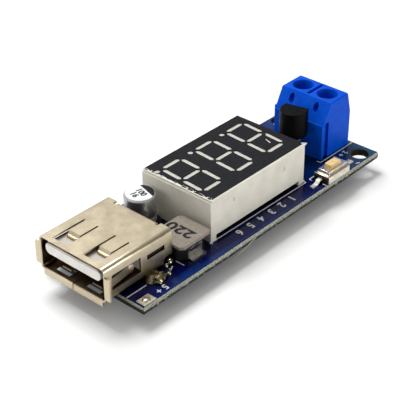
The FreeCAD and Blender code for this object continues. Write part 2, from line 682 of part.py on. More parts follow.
def make_display_housing():
    """White reflector moulding: tapered light wells, a recess for the diode board below and
    two slots between its corner feet."""
    body = new_body("display_housing")
    block = Outline(body, "block_outline")
    block.centred_box(ZERO, ZERO, mm.display_length, mm.display_width)
    pad(body, "block", block, mm.display_height)
    recess = Outline(body, "recess_outline")
    recess.centred_box(ZERO, ZERO, mm.display_length - 2 * mm.display_wall,
                       mm.display_width - 2 * mm.display_wall)
    pocket(body, "recess", recess, mm.display_recess, back=True)
    slots = Outline(body, "slot_outline", "XZ_Plane")
    slots.box(-mm.display_slot_length / 2, -mm.display_slot_height,
              mm.display_slot_length / 2, mm.display_slot_height)
    pocket(body, "long_side_slots", slots, 2 * mm.display_width, middle=True)
    digits_on(body, "wells", mm.display_height, mm.display_height - mm.display_recess, pocket)

    def socket_edge(edge):
        middle = edge.CenterOfMass
        return (near(middle.x, -mm.display_length / 2) and near(middle.z, mm.display_height)
                and runs_along(edge, 1))

    chamfer(body, "top_break", mm.display_break, socket_edge)
    seat(body, display_x, ZERO, board_top)


def make_display_segments():
    """Clear resin that fills the light wells and ends flush with the face."""
    body = new_body("display_segments")
    digits_on(body, "resin", mm.display_height, mm.display_height - mm.display_recess, pad,
              back=True)
    seat(body, display_x, ZERO, board_top)


def make_display_face():
    """Black face film, open over the segments."""
    body = new_body("display_face")
    film = Outline(body, "film_outline", "XY_Plane", mm.display_height)
    film.box(-mm.display_length / 2 + mm.face_rim, -mm.display_width / 2 + mm.face_rim,
             mm.display_length / 2, mm.display_width / 2)
    pad(body, "film", film, mm.face_thickness)
    digits_on(body, "openings", mm.display_height + mm.face_thickness, mm.face_thickness, pocket)
    seat(body, display_x, ZERO, board_top)


def make_display_board():
    """Thin board that carries the light emitting dies."""
    body = new_body("display_led_board")
    outline = Outline(body, "outline", "XY_Plane", mm.display_recess - mm.led_board_thickness)
    outline.centred_box(ZERO, ZERO, mm.display_length - 2 * mm.display_wall,
                        mm.display_width - 2 * mm.display_wall)
    pad(body, "plate", outline, mm.led_board_thickness)
    holes = Outline(body, "holes")
    for x, y in display_pin_places():
        holes.centred_box(x, y, mm.display_pin, mm.display_pin)
    pocket(body, "pin_holes", holes, mm.display_recess, back=True)
    seat(body, display_x, ZERO, board_top)


def make_display_pins():
    """Square pins from the diode board down through the main board."""
    body = new_body("display_pins")
    pins = Outline(body, "outline", "XY_Plane", -pin_length)
    for x, y in display_pin_places():
        pins.centred_box(x, y, mm.display_pin, mm.display_pin)
    pad(body, "pins", pins, pin_length + mm.display_recess)
    seat(body, display_x, ZERO, board_top)


def cone(body, name, foot, foot_radius, top_radius, height):
    """Adds an upright cone to the body; foot is the middle of its lower face."""
    feature = body.newObject("PartDesign::AdditiveCone", name)
    feature.AttachmentSupport = [(origin_of(body, "XY_Plane"), "")]
    feature.MapMode = "FlatFace"
    x, y, z = foot
    tie(feature, Radius1=foot_radius, Radius2=top_radius, Height=height,
        AttachmentOffset__Base__x=x, AttachmentOffset__Base__y=y, AttachmentOffset__Base__z=z)
    body.Tip = feature
    return feature


def make_solder(name, places, x, y, spread):
    """Solder cones under the board, one round each pin. A place is x, y and the two sides of
    the pin, measured from the group's own middle."""
    body = new_body(name)
    low = -mm.board_thickness - mm.joint_height
    for i, (px, py, pin_x, pin_y) in enumerate(places):
        tip = root(pin_x * pin_x + pin_y * pin_y) + mm.joint_tip
        cone(body, f"cone_{i}", (px, py, low), tip / 2, (tip + spread) / 2, mm.joint_height)
    bores = Outline(body, "bore_outline", "XY_Plane", low)
    for px, py, pin_x, pin_y in places:
        bores.centred_box(px, py, pin_x, pin_y)
    pocket(body, "bores", bores, mm.joint_height, back=True)
    seat(body, x, y, board_top)


def make_capacitor():
    """Aluminium electrolytic capacitor on its moulded base."""
    base = new_body("capacitor_base")
    half, cut = mm.cap_base_width / 2, mm.cap_base_corner
    plate = Outline(base, "outline")
    plate.polygon([(-half, -half), (half - cut, -half), (half, cut - half), (half, half - cut),
                   (half - cut, half), (-half, half)])
    pad(base, "plate", plate, mm.cap_base_height)
    legs = Outline(base, "lead_slots")
    legs.centred_box(ZERO, ZERO, mm.cap_base_width * 2, mm.cap_lead_width)
    pocket(base, "lead_channel", legs, mm.lead_sheet, back=True)
    seat(base, capacitor_x, capacitor_y, board_top)

    leads = new_body("capacitor_leads")
    feet = Outline(leads, "outline")
    inner = mm.cap_lead_width / 2
    for side in (-1, 1):
        feet.box(side * inner, -mm.cap_lead_width / 2,
                 side * (half + mm.cap_lead_reach), mm.cap_lead_width / 2)
    pad(leads, "feet", feet, mm.lead_sheet)
    seat(leads, capacitor_x, capacitor_y, board_top)

    can = new_body("capacitor_can")
    radius, groove = mm.can_diameter / 2, mm.can_groove
    level = mm.cap_base_height + mm.can_groove_height
    top = mm.cap_base_height + mm.can_height
    section = Outline(can, "section", "XZ_Plane")
    section.polygon([(0, mm.cap_base_height), (radius, mm.cap_base_height),
                     (radius, level - groove), (radius - groove, level),
                     (radius, level + groove), (radius, top - mm.can_break),
                     (radius - mm.can_break, top), (0, top)])
    revolve(can, "drawn_can", section)
    seat(can, capacitor_x, capacitor_y, board_top)


def chamfered(outline, length, width, corner):
    """A rectangle about the origin with its four corners cut."""
    x, y = length / 2, width / 2
    return outline.polygon([(x - corner, -y), (x, corner - y), (x, y - corner), (x - corner, y),
                            (corner - x, y), (-x, y - corner), (-x, corner - y), (corner - x, -y)])


def make_coil():
    """Shielded power coil: a ferrite body under a wider top flange, wound inside."""
    inset = 2 * mm.coil_overhang
    neck = mm.coil_height - mm.coil_top
    body = new_body("coil_body")
    lower = Outline(body, "lower_outline")
    chamfered(lower, mm.coil_length - inset, mm.coil_width - inset, mm.coil_neck_corner)
    pad(body, "lower", lower, neck)
    upper = Outline(body, "upper_outline", "XY_Plane", neck)
    chamfered(upper, mm.coil_length, mm.coil_width, mm.coil_corner)
    pad(body, "top_flange", upper, mm.coil_top)
    middle = Outline(body, "winding_outline", "XY_Plane", neck)
    middle.circle(ZERO, ZERO, mm.coil_width - 2 * inset)
    middle.circle(ZERO, ZERO, 2 * mm.coil_drum)
    pocket(body, "winding_room", middle, mm.coil_window_height)
    clip_room = Outline(body, "clip_recess")
    for side in (-1, 1):
        edge = (mm.coil_width - inset) / 2
        clip_room.box(-mm.coil_clip_width / 2, side * (edge - mm.coil_clip_sheet),
                      mm.coil_clip_width / 2, side * mm.coil_width)
    pocket(body, "clip_seats", clip_room, mm.coil_clip_height, back=True)
    seat(body, coil_x, coil_y, board_top)

    winding = new_body("coil_winding")
    turns = Outline(winding, "outline", "XY_Plane", neck)
    turns.circle(ZERO, ZERO, mm.coil_width - 2 * inset)
    turns.circle(ZERO, ZERO, 2 * mm.coil_drum)
    pad(winding, "turns", turns, mm.coil_window_height, back=True)
    seat(winding, coil_x, coil_y, board_top)

    clips = new_body("coil_clips")
    face = (mm.coil_width - inset) / 2
    side_view = Outline(clips, "side_view", "YZ_Plane")
    for side in (-1, 1):
        side_view.polygon([
            (side * (face - mm.coil_clip_sheet), 0), (side * (face + mm.coil_clip_foot), 0),
            (side * (face + mm.coil_clip_foot), mm.coil_clip_sheet),
            (side * face, mm.coil_clip_sheet), (side * face, mm.coil_clip_height),
            (side * (face - mm.coil_clip_sheet), mm.coil_clip_height)])
    pad(clips, "strips", side_view, mm.coil_clip_width, middle=True)
    slot = Outline(clips, "slot_outline", "XZ_Plane")
    slot_top = mm.coil_clip_height - mm.coil_slot_drop
    slot.box(-mm.coil_slot_length / 2, slot_top - mm.coil_slot_height,
             mm.coil_slot_length / 2, slot_top)
    pocket(clips, "wire_slots", slot, 2 * mm.coil_width, middle=True)
    seat(clips, coil_x, coil_y, board_top)


def make_switch():
    """Push switch: moulded base, stamped cover, snap dome, button and two curved leads."""
    play = mm.button_play
    base = new_body("switch_base")
    length = mm.switch_length + 2 * mm.switch_base_reach
    inner_width = mm.switch_width - 2 * mm.switch_cover_sheet
    ceiling = mm.switch_cover_height - mm.switch_cover_sheet - play
    flange_low = ceiling - mm.button_flange_height
    dome_floor = flange_low - mm.button_travel - play - mm.dome_rise - mm.dome_skin
    block = Outline(base, "block_outline")
    block.centred_box(ZERO, ZERO, length, inner_width)
    pad(base, "block", block, mm.switch_base_height)
    well = Outline(base, "well_outline", "XY_Plane", mm.switch_base_height)
    well.circle(ZERO, ZERO, inner_width - 2 * mm.switch_cover_sheet)
    pocket(base, "dome_well", well, mm.switch_base_height - dome_floor)
    seat(base, switch_x, switch_y, board_top)

    cover = new_body("switch_cover")
    skirt = Outline(cover, "skirt_outline")
    skirt.centred_box(ZERO, ZERO, mm.switch_length, mm.switch_width)
    pad(cover, "skirt", skirt, mm.switch_skirt_height)
    cap = Outline(cover, "cap_outline", "XY_Plane", mm.switch_skirt_height)
    cap.centred_box(ZERO, ZERO, mm.switch_length - 2 * mm.switch_step,
                    mm.switch_width - 2 * mm.switch_step)
    pad(cover, "cap", cap, mm.switch_cover_height - mm.switch_skirt_height)
    hollow = Outline(cover, "hollow_outline")
    hollow.centred_box(ZERO, ZERO, 2 * mm.switch_length, inner_width)
    pocket(cover, "skirt_hollow", hollow, mm.switch_base_height, back=True)
    room = Outline(cover, "button_room_outline")
    room.centred_box(ZERO, ZERO, mm.button_length + 2 * (mm.button_flange + play),
                     mm.button_width + 2 * (mm.button_flange + play))
    pocket(cover, "button_room", room, mm.switch_cover_height - mm.switch_cover_sheet, back=True)
    window = Outline(cover, "window_outline")
    window.centred_box(ZERO, ZERO, mm.button_length + 2 * play, mm.button_width + 2 * play)
    pocket(cover, "window", window, mm.switch_cover_height, back=True)
    seat(cover, switch_x, switch_y, board_top)

    button = new_body("switch_button")
    stem = Outline(button, "stem_outline", "XY_Plane", flange_low)
    stem.centred_box(ZERO, ZERO, mm.button_length, mm.button_width)
    pad(button, "stem", stem, mm.button_height - flange_low)
    rim = Outline(button, "flange_outline", "XY_Plane", flange_low)
    rim.centred_box(ZERO, ZERO, mm.button_length + 2 * mm.button_flange,
                    mm.button_width + 2 * mm.button_flange)
    pad(button, "flange", rim, mm.button_flange_height)
    seat(button, switch_x, switch_y, board_top)

    lead = new_body("switch_leads")
    sheet_t = mm.lead_sheet
    side_view = Outline(lead, "side_view", "XZ_Plane")
    knee, foot = mm.switch_lead_knee, mm.switch_lead_foot
    for side in (-1, 1):
        end = length / 2
        rise = mm.switch_lead_rise
        side_view.polygon([
            (side * end, rise), (side * (end + knee), rise), (side * (end + foot), sheet_t),
            (side * (end + mm.switch_lead_reach), sheet_t),
            (side * (end + mm.switch_lead_reach), 0), (side * (end + foot - sheet_t / 2), 0),
            (side * (end + knee - sheet_t / 2), rise - sheet_t), (side * end, rise - sheet_t)])
    pad(lead, "strips", side_view, mm.switch_lead_width, middle=True)

    def knees(edge):
        if not runs_along(edge, 1):
            return False
        x = abs(edge.CenterOfMass.x) - length.number / 2
        return sheet_t.number < x < mm.switch_lead_reach.number - 1e-3

    fillet(lead, "curves", sheet_t, knees)
    seat(lead, switch_x, switch_y, board_top)

    dome = new_body("switch_dome")
    radius = inner_width / 2 - mm.switch_cover_sheet - play
    top, skin = dome_floor + mm.dome_rise, mm.dome_skin
    section = Outline(dome, "section", "XZ_Plane")
    section.polygon([(radius, dome_floor), (mm.dome_shoulder, top), (0, top), (0, top + skin),
                     (mm.dome_shoulder, top + skin), (radius, dome_floor + skin)])
    revolve(dome, "snap_dome", section)
    seat(dome, switch_x, switch_y, board_top)


def revolve(body, name, outline):
    """Turns an outline in the XZ plane once round the body's own Z axis."""
    feature = body.newObject("PartDesign::Revolution", name)
    feature.Profile = outline.sketch
    feature.ReferenceAxis = (origin_of(body, "Z_Axis"), [""])
    feature.Angle = 360
    body.Tip = feature
    return feature


clamp_back = mm.wire_room_back + mm.clamp_play
clamp_top = mm.wire_entry_high - mm.clamp_play
clamp_low = mm.wire_entry_low + mm.clamp_play
guard_low = clamp_low + mm.clamp_sheet + mm.clamp_play
screw_tip = guard_low + mm.guard_sheet + mm.clamp_play
head_low = clamp_top + mm.clamp_play


def make_terminal_housing():
    """Moulded two pole housing with wire rooms, screw wells, key grooves and sight slots."""
    body = new_body("terminal_housing")
    half = mm.pole_pitch
    side_view = Outline(body, "side_view", "XZ_Plane")
    side_view.polygon([
        (0, 0), (mm.terminal_depth, 0), (mm.terminal_depth, mm.terminal_front_ledge),
        (mm.terminal_depth - mm.terminal_front_lean, mm.terminal_height),
        (mm.terminal_back_lean, mm.terminal_height),
        (mm.terminal_back_draft, mm.terminal_back_ledge), (0, mm.terminal_back_ledge)])
    pad(body, "block", side_view, 2 * half, middle=True)
    key = mm.key_flare
    rail = Outline(body, "key_rail_outline")
    rail.polygon([(mm.key_place + key, half), (mm.key_place + mm.key_width - key, half),
                  (mm.key_place + mm.key_width, half + mm.key_depth),
                  (mm.key_place, half + mm.key_depth)])
    pad(body, "key_rail", rail, mm.key_height)
    groove = Outline(body, "key_groove_outline")
    groove.polygon([(mm.key_place, -half), (mm.key_place + mm.key_width, -half),
                    (mm.key_place + mm.key_width + key, mm.key_depth - half),
                    (mm.key_place - key, mm.key_depth - half)])
    pocket(body, "key_groove", groove, mm.key_height, back=True)
    rooms = Outline(body, "wire_room_outline", "YZ_Plane", mm.terminal_depth)
    wells = Outline(body, "screw_well_outline", "XY_Plane", mm.terminal_height)
    pins = Outline(body, "pin_hole_outline")
    slots = Outline(body, "sight_slot_outline", "YZ_Plane")
    slot_middle = (mm.sight_slot_low + mm.sight_slot_high) / 2
    slot_half = mm.sight_slot_width / 2
    for y in pole_sides():
        rooms.box(y - mm.wire_entry_width / 2, mm.wire_entry_low,
                  y + mm.wire_entry_width / 2, mm.wire_entry_high)
        wells.circle(mm.screw_place, y, mm.screw_hole)
        pins.centred_box(mm.screw_place, y, mm.terminal_pin + mm.pin_room,
                         mm.terminal_pin + mm.pin_room)
        slots.polygon([(y, mm.sight_slot_low), (y + slot_half, slot_middle - slot_half),
                       (y + slot_half, slot_middle + slot_half), (y, mm.sight_slot_high),
                       (y - slot_half, slot_middle + slot_half),
                       (y - slot_half, slot_middle - slot_half)])
    pocket(body, "wire_rooms", rooms, mm.terminal_depth - mm.wire_room_back)
    pocket(body, "screw_wells", wells, mm.terminal_height - mm.wire_entry_high)
    pocket(body, "pin_holes", pins, mm.wire_entry_low, back=True)
    pocket(body, "sight_slots", slots, mm.sight_slot_depth, back=True)
    top_groove = Outline(body, "pole_groove_outline", "XY_Plane", mm.terminal_height)
    top_groove.box(mm.terminal_back_lean + mm.pole_groove_inset, -mm.pole_groove / 2,
                   mm.terminal_depth - mm.terminal_front_lean - mm.pole_groove_inset,
                   mm.pole_groove / 2)
    pocket(body, "pole_groove", top_groove, mm.pole_groove_depth)

    def outline_edge(edge):
        middle = edge.CenterOfMass
        return near(abs(middle.y), half) and near(middle.z, mm.terminal_height)

    chamfer(body, "top_break", mm.terminal_break, outline_edge)
    seat(body, terminal_x, ZERO, board_top)


def make_terminal_pole(number, side):
    """Bent contact with a tapped top, its screw, and the leaf that the screw drives down."""
    contact = new_body(f"terminal_contact_{number}")
    rear, front = clamp_back, clamp_back + mm.clamp_depth
    profile = Outline(contact, "profile", "XZ_Plane")
    profile.polygon([
        (rear, clamp_low), (front, clamp_low), (front, clamp_low + mm.clamp_sheet),
        (rear + mm.clamp_sheet, clamp_low + mm.clamp_sheet),
        (rear + mm.clamp_sheet, clamp_top - mm.clamp_sheet),
        (front, clamp_top - mm.clamp_sheet), (front, clamp_top), (rear, clamp_top)])
    pad(contact, "strip", profile, mm.clamp_width, middle=True)

    def back_bend(edge):
        return runs_along(edge, 1) and near(edge.CenterOfMass.x, rear)

    fillet(contact, "bends", mm.clamp_sheet / 2, back_bend)
    tapped = Outline(contact, "tapped_hole_outline", "XY_Plane", clamp_top)
    tapped.circle(mm.screw_place, 0, mm.screw_shank + 2 * mm.screw_thread_play)
    pocket(contact, "tapped_hole", tapped, mm.clamp_sheet)
    pin = Outline(contact, "pin_outline", "XY_Plane", clamp_low)
    pin.centred_box(mm.screw_place, ZERO, mm.terminal_pin, mm.terminal_pin)
    pad(contact, "pin", pin, clamp_low + pin_length, back=True)
    seat(contact, terminal_x, side, board_top)

    screw = new_body(f"terminal_screw_{number}")
    shank = Outline(screw, "shank_outline", "XY_Plane", screw_tip)
    shank.circle(0, 0, mm.screw_shank)
    pad(screw, "shank", shank, head_low - screw_tip)
    head = Outline(screw, "head_outline", "XY_Plane", head_low)
    head.circle(0, 0, mm.screw_head)
    pad(screw, "head", head, mm.screw_head_height)

    def head_rim(edge):
        box = edge.BoundBox
        return near(box.ZMin, head_low + mm.screw_head_height) and near(box.ZMax, box.ZMin)

    def tip_rim(edge):
        return near(edge.BoundBox.ZMax, screw_tip)

    chamfer(screw, "head_break", mm.screw_break, head_rim)
    chamfer(screw, "tip_break", mm.screw_break, tip_rim)
    drive = Outline(screw, "drive_outline", "XY_Plane", head_low + mm.screw_head_height)
    long, slim = mm.screw_drive_length / 2, mm.screw_drive_width / 2
    drive.polygon([(-long, -slim), (-slim, -slim), (-slim, -long), (slim, -long), (slim, -slim),
                   (long, -slim), (long, slim), (slim, slim), (slim, long), (-slim, long),
                   (-slim, slim), (-long, slim)])
    pocket(screw, "cross_drive", drive, mm.screw_drive_depth)
    seat(screw, screw_x, side, board_top)

    guard = new_body(f"wire_guard_{number}")
    start = clamp_back + mm.clamp_sheet + mm.clamp_play * 2
    end = start + mm.guard_length
    leaf = Outline(guard, "profile", "XZ_Plane")
    sheet_t = mm.guard_sheet
    leaf.polygon([(start, guard_low), (end, guard_low),
                  (end + mm.guard_lip, guard_low + mm.guard_lip),
                  (end + mm.guard_lip - sheet_t, guard_low + mm.guard_lip + sheet_t / 2),
                  (end - sheet_t / 2, guard_low + sheet_t), (start, guard_low + sheet_t)])
    pad(guard, "leaf", leaf, mm.guard_width, middle=True)
    seat(guard, terminal_x, side, board_top)


def make_terminal():
    make_terminal_housing()
    for number, side in enumerate(pole_sides(), start=1):
        make_terminal_pole(number, side)


def make_regulator():
    """Small transistor style regulator on three legs, its flat facing the terminal."""
    body = new_body("regulator_body")
    top_view = Outline(body, "top_view", "XY_Plane", mm.regulator_lift)
    top_view.circle(0, 0, 2 * mm.regulator_radius)
    pad(body, "round", top_view, mm.regulator_height)
    flat = Outline(body, "flat_outline", "XY_Plane", mm.regulator_lift)
    flat.box(mm.regulator_flat, -mm.regulator_radius * 2,
             mm.regulator_radius * 2, mm.regulator_radius * 2)
    pocket(body, "flat", flat, mm.regulator_height, back=True)

    def rims(edge):
        box = edge.BoundBox
        return near(box.ZMin, box.ZMax)

    chamfer(body, "edge_break", mm.regulator_break, rims)
    yaw = FreeCAD.Rotation(FreeCAD.Vector(0, 0, 1), mm.regulator_yaw.number)
    seat(body, regulator_x, regulator_y, board_top, yaw)

    legs = new_body("regulator_legs")
    outline = Outline(legs, "outline", "XY_Plane", -pin_length)
    for y in regulator_leg_places():
        outline.centred_box(ZERO, y, mm.regulator_leg, mm.regulator_leg)
    pad(legs, "legs", outline, pin_length + mm.regulator_lift)
    seat(legs, regulator_x, regulator_y, board_top)


def make_output_pads():
    """Two tinned pads beside the socket, each with a wire hole."""
    body = new_body("output_pads")
    outline = Outline(body, "outline")
    for side in (-1, 1):
        y = side * (mm.board_width / 2 - mm.pad_from_side - mm.pad_width / 2)
        outline.centred_box(mm.pad_from_end + mm.pad_length / 2, y, mm.pad_length, mm.pad_width)
        outline.circle(mm.pad_from_end + mm.pad_length / 2, y, mm.pad_hole)
    pad(body, "pads", outline, mm.pad_thickness)
    seat(body, board_start, ZERO, board_top)


def make_chip(name, x, y, size, pitch, count, lead_width, lead_reach):
    """Moulded chip with a row of gull wing leads on each long side, soldered under the board."""
    length, width = size
    body = new_body(f"{name}_body")
    top = mm.chip_gap + mm.chip_body_height
    middle = mm.chip_gap + mm.chip_body_height / 2
    draft = mm.chip_draft
    section = Outline(body, "section", "YZ_Plane")
    section.polygon([(draft - width / 2, mm.chip_gap), (width / 2 - draft, mm.chip_gap),
                     (width / 2, middle), (width / 2 - draft, top), (draft - width / 2, top),
                     (-width / 2, middle)])
    pad(body, "moulding", section, length, middle=True)
    dimple = Outline(body, "dimple_outline", "XY_Plane", top)
    dimple.circle(mm.dimple_inset - length / 2, mm.dimple_inset - width / 2, mm.dimple_size)
    pocket(body, "first_pin_dimple", dimple, mm.chip_gap)
    seat(body, x, y, board_bottom, UPSIDE_DOWN)

    leads = new_body(f"{name}_leads")
    sheet_t = mm.chip_lead_sheet
    first = -(count - 1) / 2 * pitch
    wing = Outline(leads, "wing_outline", "YZ_Plane", first)
    for side in (-1, 1):
        edge = width / 2
        knee, ankle = edge + mm.chip_lead_knee, edge + mm.chip_lead_ankle
        wing.polygon([
            (side * edge, middle + sheet_t / 2), (side * knee, middle + sheet_t / 2),
            (side * ankle, sheet_t), (side * (edge + lead_reach), sheet_t),
            (side * (edge + lead_reach), 0), (side * (ankle - sheet_t), 0),
            (side * (knee - sheet_t), middle - sheet_t / 2),
            (side * edge, middle - sheet_t / 2)])
    first_pair = pad(leads, "first_pair", wing, lead_width, middle=True)
    repeat_along(leads, "rows", [first_pair], "X_Axis", pitch, count)
    seat(leads, x, y, board_bottom, UPSIDE_DOWN)


def make_diode():
    """Rectifier of the converter, with a folded tab at each end."""
    x, y = coil_x + mm.underside_shift, mm.board_width / 2 - mm.diode_from_edge
    body = new_body("diode_body")
    draft = mm.chip_draft
    low, middle = mm.chip_gap, mm.diode_height / 2
    section = Outline(body, "section", "YZ_Plane")
    half = mm.diode_width / 2
    section.polygon([(draft - half, low), (half - draft, low), (half, middle),
                     (half - draft, mm.diode_height), (draft - half, mm.diode_height),
                     (-half, middle)])
    pad(body, "moulding", section, mm.diode_length, middle=True)
    seat(body, x, y, board_bottom, UPSIDE_DOWN)

    tabs = new_body("diode_tabs")
    sheet_t, end, reach = mm.chip_lead_sheet, mm.diode_length / 2, mm.diode_tab_reach
    side_view = Outline(tabs, "side_view", "XZ_Plane")
    for side in (-1, 1):
        side_view.polygon([
            (side * end, middle), (side * (end + reach), middle), (side * (end + reach), 0),
            (side * (end + reach - mm.diode_tab_foot), 0),
            (side * (end + reach - mm.diode_tab_foot), low), (side * (end + reach - sheet_t), low),
            (side * (end + reach - sheet_t), middle - sheet_t), (side * end, middle - sheet_t)])
    pad(tabs, "strips", side_view, mm.diode_tab_width, middle=True)
    seat(tabs, x, y, board_bottom, UPSIDE_DOWN)


def make_chip_row(name, count, y, height):
    """A row of small two ended parts: bodies in one sub-part, their plated ends in another."""
    body = new_body(f"{name}_bodies")
    ends = new_body(f"{name}_ends")
    blocks = Outline(body, "outline", "XY_Plane", mm.cap_end_skin)
    caps = Outline(ends, "outline")
    inner = mm.resistor_length / 2 - mm.cap_end
    for i in range(count):
        x = (i - (count - 1) / 2) * mm.resistor_pitch
        blocks.centred_box(x, ZERO, mm.resistor_width, 2 * inner)
        for side in (-1, 1):
            caps.box(x - mm.resistor_width / 2, side * inner,
                     x + mm.resistor_width / 2, side * mm.resistor_length / 2)
    pad(body, "blocks", blocks, height)
    pad(ends, "caps", caps, height + 2 * mm.cap_end_skin)
    for item in (body, ends):
        seat(item, display_x, y, board_bottom, UPSIDE_DOWN)


def make_underside_parts():
    make_chip("buck_controller", coil_x + mm.underside_shift, ZERO,
              (mm.buck_length, mm.buck_width), mm.buck_pitch, BUCK_PINS_A_SIDE,
              mm.chip_lead_width, mm.chip_lead_reach)
    make_chip("meter_controller", display_x, ZERO, (mm.meter_length, mm.meter_width),
              mm.meter_pitch, METER_PINS_A_SIDE, mm.meter_lead_width, mm.meter_lead_reach)
    make_diode()
    row_y = mm.board_width / 2 - mm.small_row_inset
    make_chip_row("resistor", RESISTORS, -row_y, mm.resistor_height)
    make_chip_row("ceramic_capacitor", CERAMIC_CAPACITORS, row_y, mm.ceramic_height)


def make_all_solder():
    wide, fine = mm.joint_spread, mm.fine_joint_spread
    make_solder("usb_pin_solder",
                [(contact_row, y, mm.contact_thickness, mm.contact_width)
                 for y in contact_sides()], usb_front, usb_y, fine)
    make_solder("display_solder",
                [(x, y, mm.display_pin, mm.display_pin) for x, y in display_pin_places()],
                display_x, ZERO, wide)
    make_solder("terminal_solder",
                [(ZERO, y, mm.terminal_pin, mm.terminal_pin) for y in pole_sides()],
                screw_x, ZERO, wide)
    make_solder("regulator_solder",
                [(ZERO, y, mm.regulator_leg, mm.regulator_leg) for y in regulator_leg_places()],
                regulator_x, regulator_y, fine)
    make_tab_solder()


def make_tab_solder():
    """Heavy joints of the socket's two tabs: a mound beside the shell, and one below."""
    body = new_body("usb_tab_solder")
    wall = mm.usb_width / 2
    under = Outline(body, "under_outline", "XY_Plane", -mm.board_thickness)
    mound_radius = (mm.tab_width + mm.tab_joint_reach) / 2
    for side in (-1, 1):
        cone(body, f"mound_{side + 1}",
             (tab_middle, side * (wall + mm.tab_mound_shift), ZERO),
             mound_radius, mm.tab_mound_top, mm.tab_joint_height)
        under.centred_box(tab_middle, side * tab_y, mm.tab_width + mm.tab_joint_reach,
                          mm.tab_joint_width)
    keep_out = Outline(body, "shell_outline", "XY_Plane", mm.usb_seat)
    keep_out.box(ZERO, -wall, mm.usb_length, wall)
    pocket(body, "shell_room", keep_out, mm.usb_height, back=True)
    pad(body, "under_joints", under, mm.joint_height, back=True)

    def under_rim(edge):
        level = -mm.board_thickness - mm.joint_height
        return near(edge.BoundBox.ZMin, level) and near(edge.BoundBox.ZMax, level)

    chamfer(body, "under_slopes", mm.tab_joint_slope, under_rim)
    tabs = Outline(body, "tab_outline", "XY_Plane", mm.usb_seat)
    for side in (-1, 1):
        tabs.centred_box(tab_middle, side * tab_y, mm.tab_width, mm.usb_sheet)
    pocket(body, "tab_slots", tabs, mm.usb_seat + pin_length + mm.joint_height)
    seat(body, usb_front, usb_y, board_top)


makers = [make_pcb, make_usb_shell, make_usb_contacts, make_usb_insulator,
          make_display_housing, make_display_segments, make_display_face, make_display_board,
          make_display_pins, make_capacitor, make_coil, make_switch, make_terminal,
          make_regulator, make_output_pads, make_underside_parts, make_all_solder]
for make in makers:
    make()
    doc.recompute()

doc.recompute()
for item in doc.Objects:
    assert not {"Invalid", "Error"} & set(item.State), f"{item.Name}: {item.State}"
for item in sub_parts:
    assert not item.Shape.isNull() and item.Shape.isValid(), f"{item.Label} is not sound"
    item.Shape.exportStep(f"parts/{item.Label}.step")
print(f"{len(sub_parts)} sub-parts written")
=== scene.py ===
import json
import math
import random

import bmesh
import bpy
from mathutils import Matrix, Vector, noise


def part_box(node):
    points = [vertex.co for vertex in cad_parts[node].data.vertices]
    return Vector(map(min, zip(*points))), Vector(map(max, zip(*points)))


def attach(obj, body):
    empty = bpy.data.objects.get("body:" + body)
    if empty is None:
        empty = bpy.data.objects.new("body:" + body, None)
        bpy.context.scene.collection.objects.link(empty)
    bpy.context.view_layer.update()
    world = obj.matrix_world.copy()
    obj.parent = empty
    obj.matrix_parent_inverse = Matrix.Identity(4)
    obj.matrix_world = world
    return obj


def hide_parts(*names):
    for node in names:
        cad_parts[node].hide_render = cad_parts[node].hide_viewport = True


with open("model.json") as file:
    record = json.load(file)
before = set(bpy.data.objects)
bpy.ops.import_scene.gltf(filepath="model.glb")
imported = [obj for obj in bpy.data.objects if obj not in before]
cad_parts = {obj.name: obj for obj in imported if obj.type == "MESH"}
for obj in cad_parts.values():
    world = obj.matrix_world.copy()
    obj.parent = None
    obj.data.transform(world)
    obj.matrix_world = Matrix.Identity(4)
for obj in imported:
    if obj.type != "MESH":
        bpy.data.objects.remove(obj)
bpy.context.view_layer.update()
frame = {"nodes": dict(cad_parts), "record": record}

# Table: a sheet of white paper under the module. It looks white to the camera, and it keeps the
# soft shadow of the raised board.
MM = 0.001


def rgb(red, green, blue):
    """A colour as a screen shows it, 0 to 255, as the linear colour that a shader takes."""
    def linear(value):
        value /= 255
        return value / 12.92 if value <= 0.04045 else ((value + 0.055) / 1.055) ** 2.4
    return linear(red), linear(green), linear(blue), 1.0


def add_node(material, kind, settings=None, **sockets):
    """Adds a node. A socket goes by its name, or by i and its number, and takes a plain value
    or another node's output."""
    node = material.node_tree.nodes.new(kind)
    for name, value in (settings or {}).items():
        setattr(node, name, value)
    for name, value in sockets.items():
        numbered = name[0] == "i" and name[1:].isdigit()
        socket = node.inputs[int(name[1:]) if numbered else name.replace("_", " ")]
        if isinstance(value, bpy.types.NodeSocket):
            material.node_tree.links.new(value, socket)
        else:
            socket.default_value = value
    return node


def reckon(material, operation, first, second=0.0):
    """One step of arithmetic in a material, on one value or on two."""
    return add_node(material, "ShaderNodeMath", {"operation": operation}, i0=first,
                    i1=second).outputs[0]


def seen_by(material, *rays):
    """1 for the named kinds of ray and 0 for all others."""
    path = add_node(material, "ShaderNodeLightPath")
    total = path.outputs[rays[0]]
    for ray in rays[1:]:
        total = reckon(material, "MAXIMUM", total, path.outputs[ray])
    return total


def shader_of(material):
    """The surface shader of a material."""
    return material.node_tree.nodes["Principled BSDF"]


bm = bmesh.new()
bmesh.ops.create_grid(bm, x_segments=1, y_segments=1, size=2.0)
table_mesh = bpy.data.meshes.new("table")
bm.to_mesh(table_mesh)
bm.free()
table = bpy.data.objects.new("table", table_mesh)
bpy.context.scene.collection.objects.link(table)

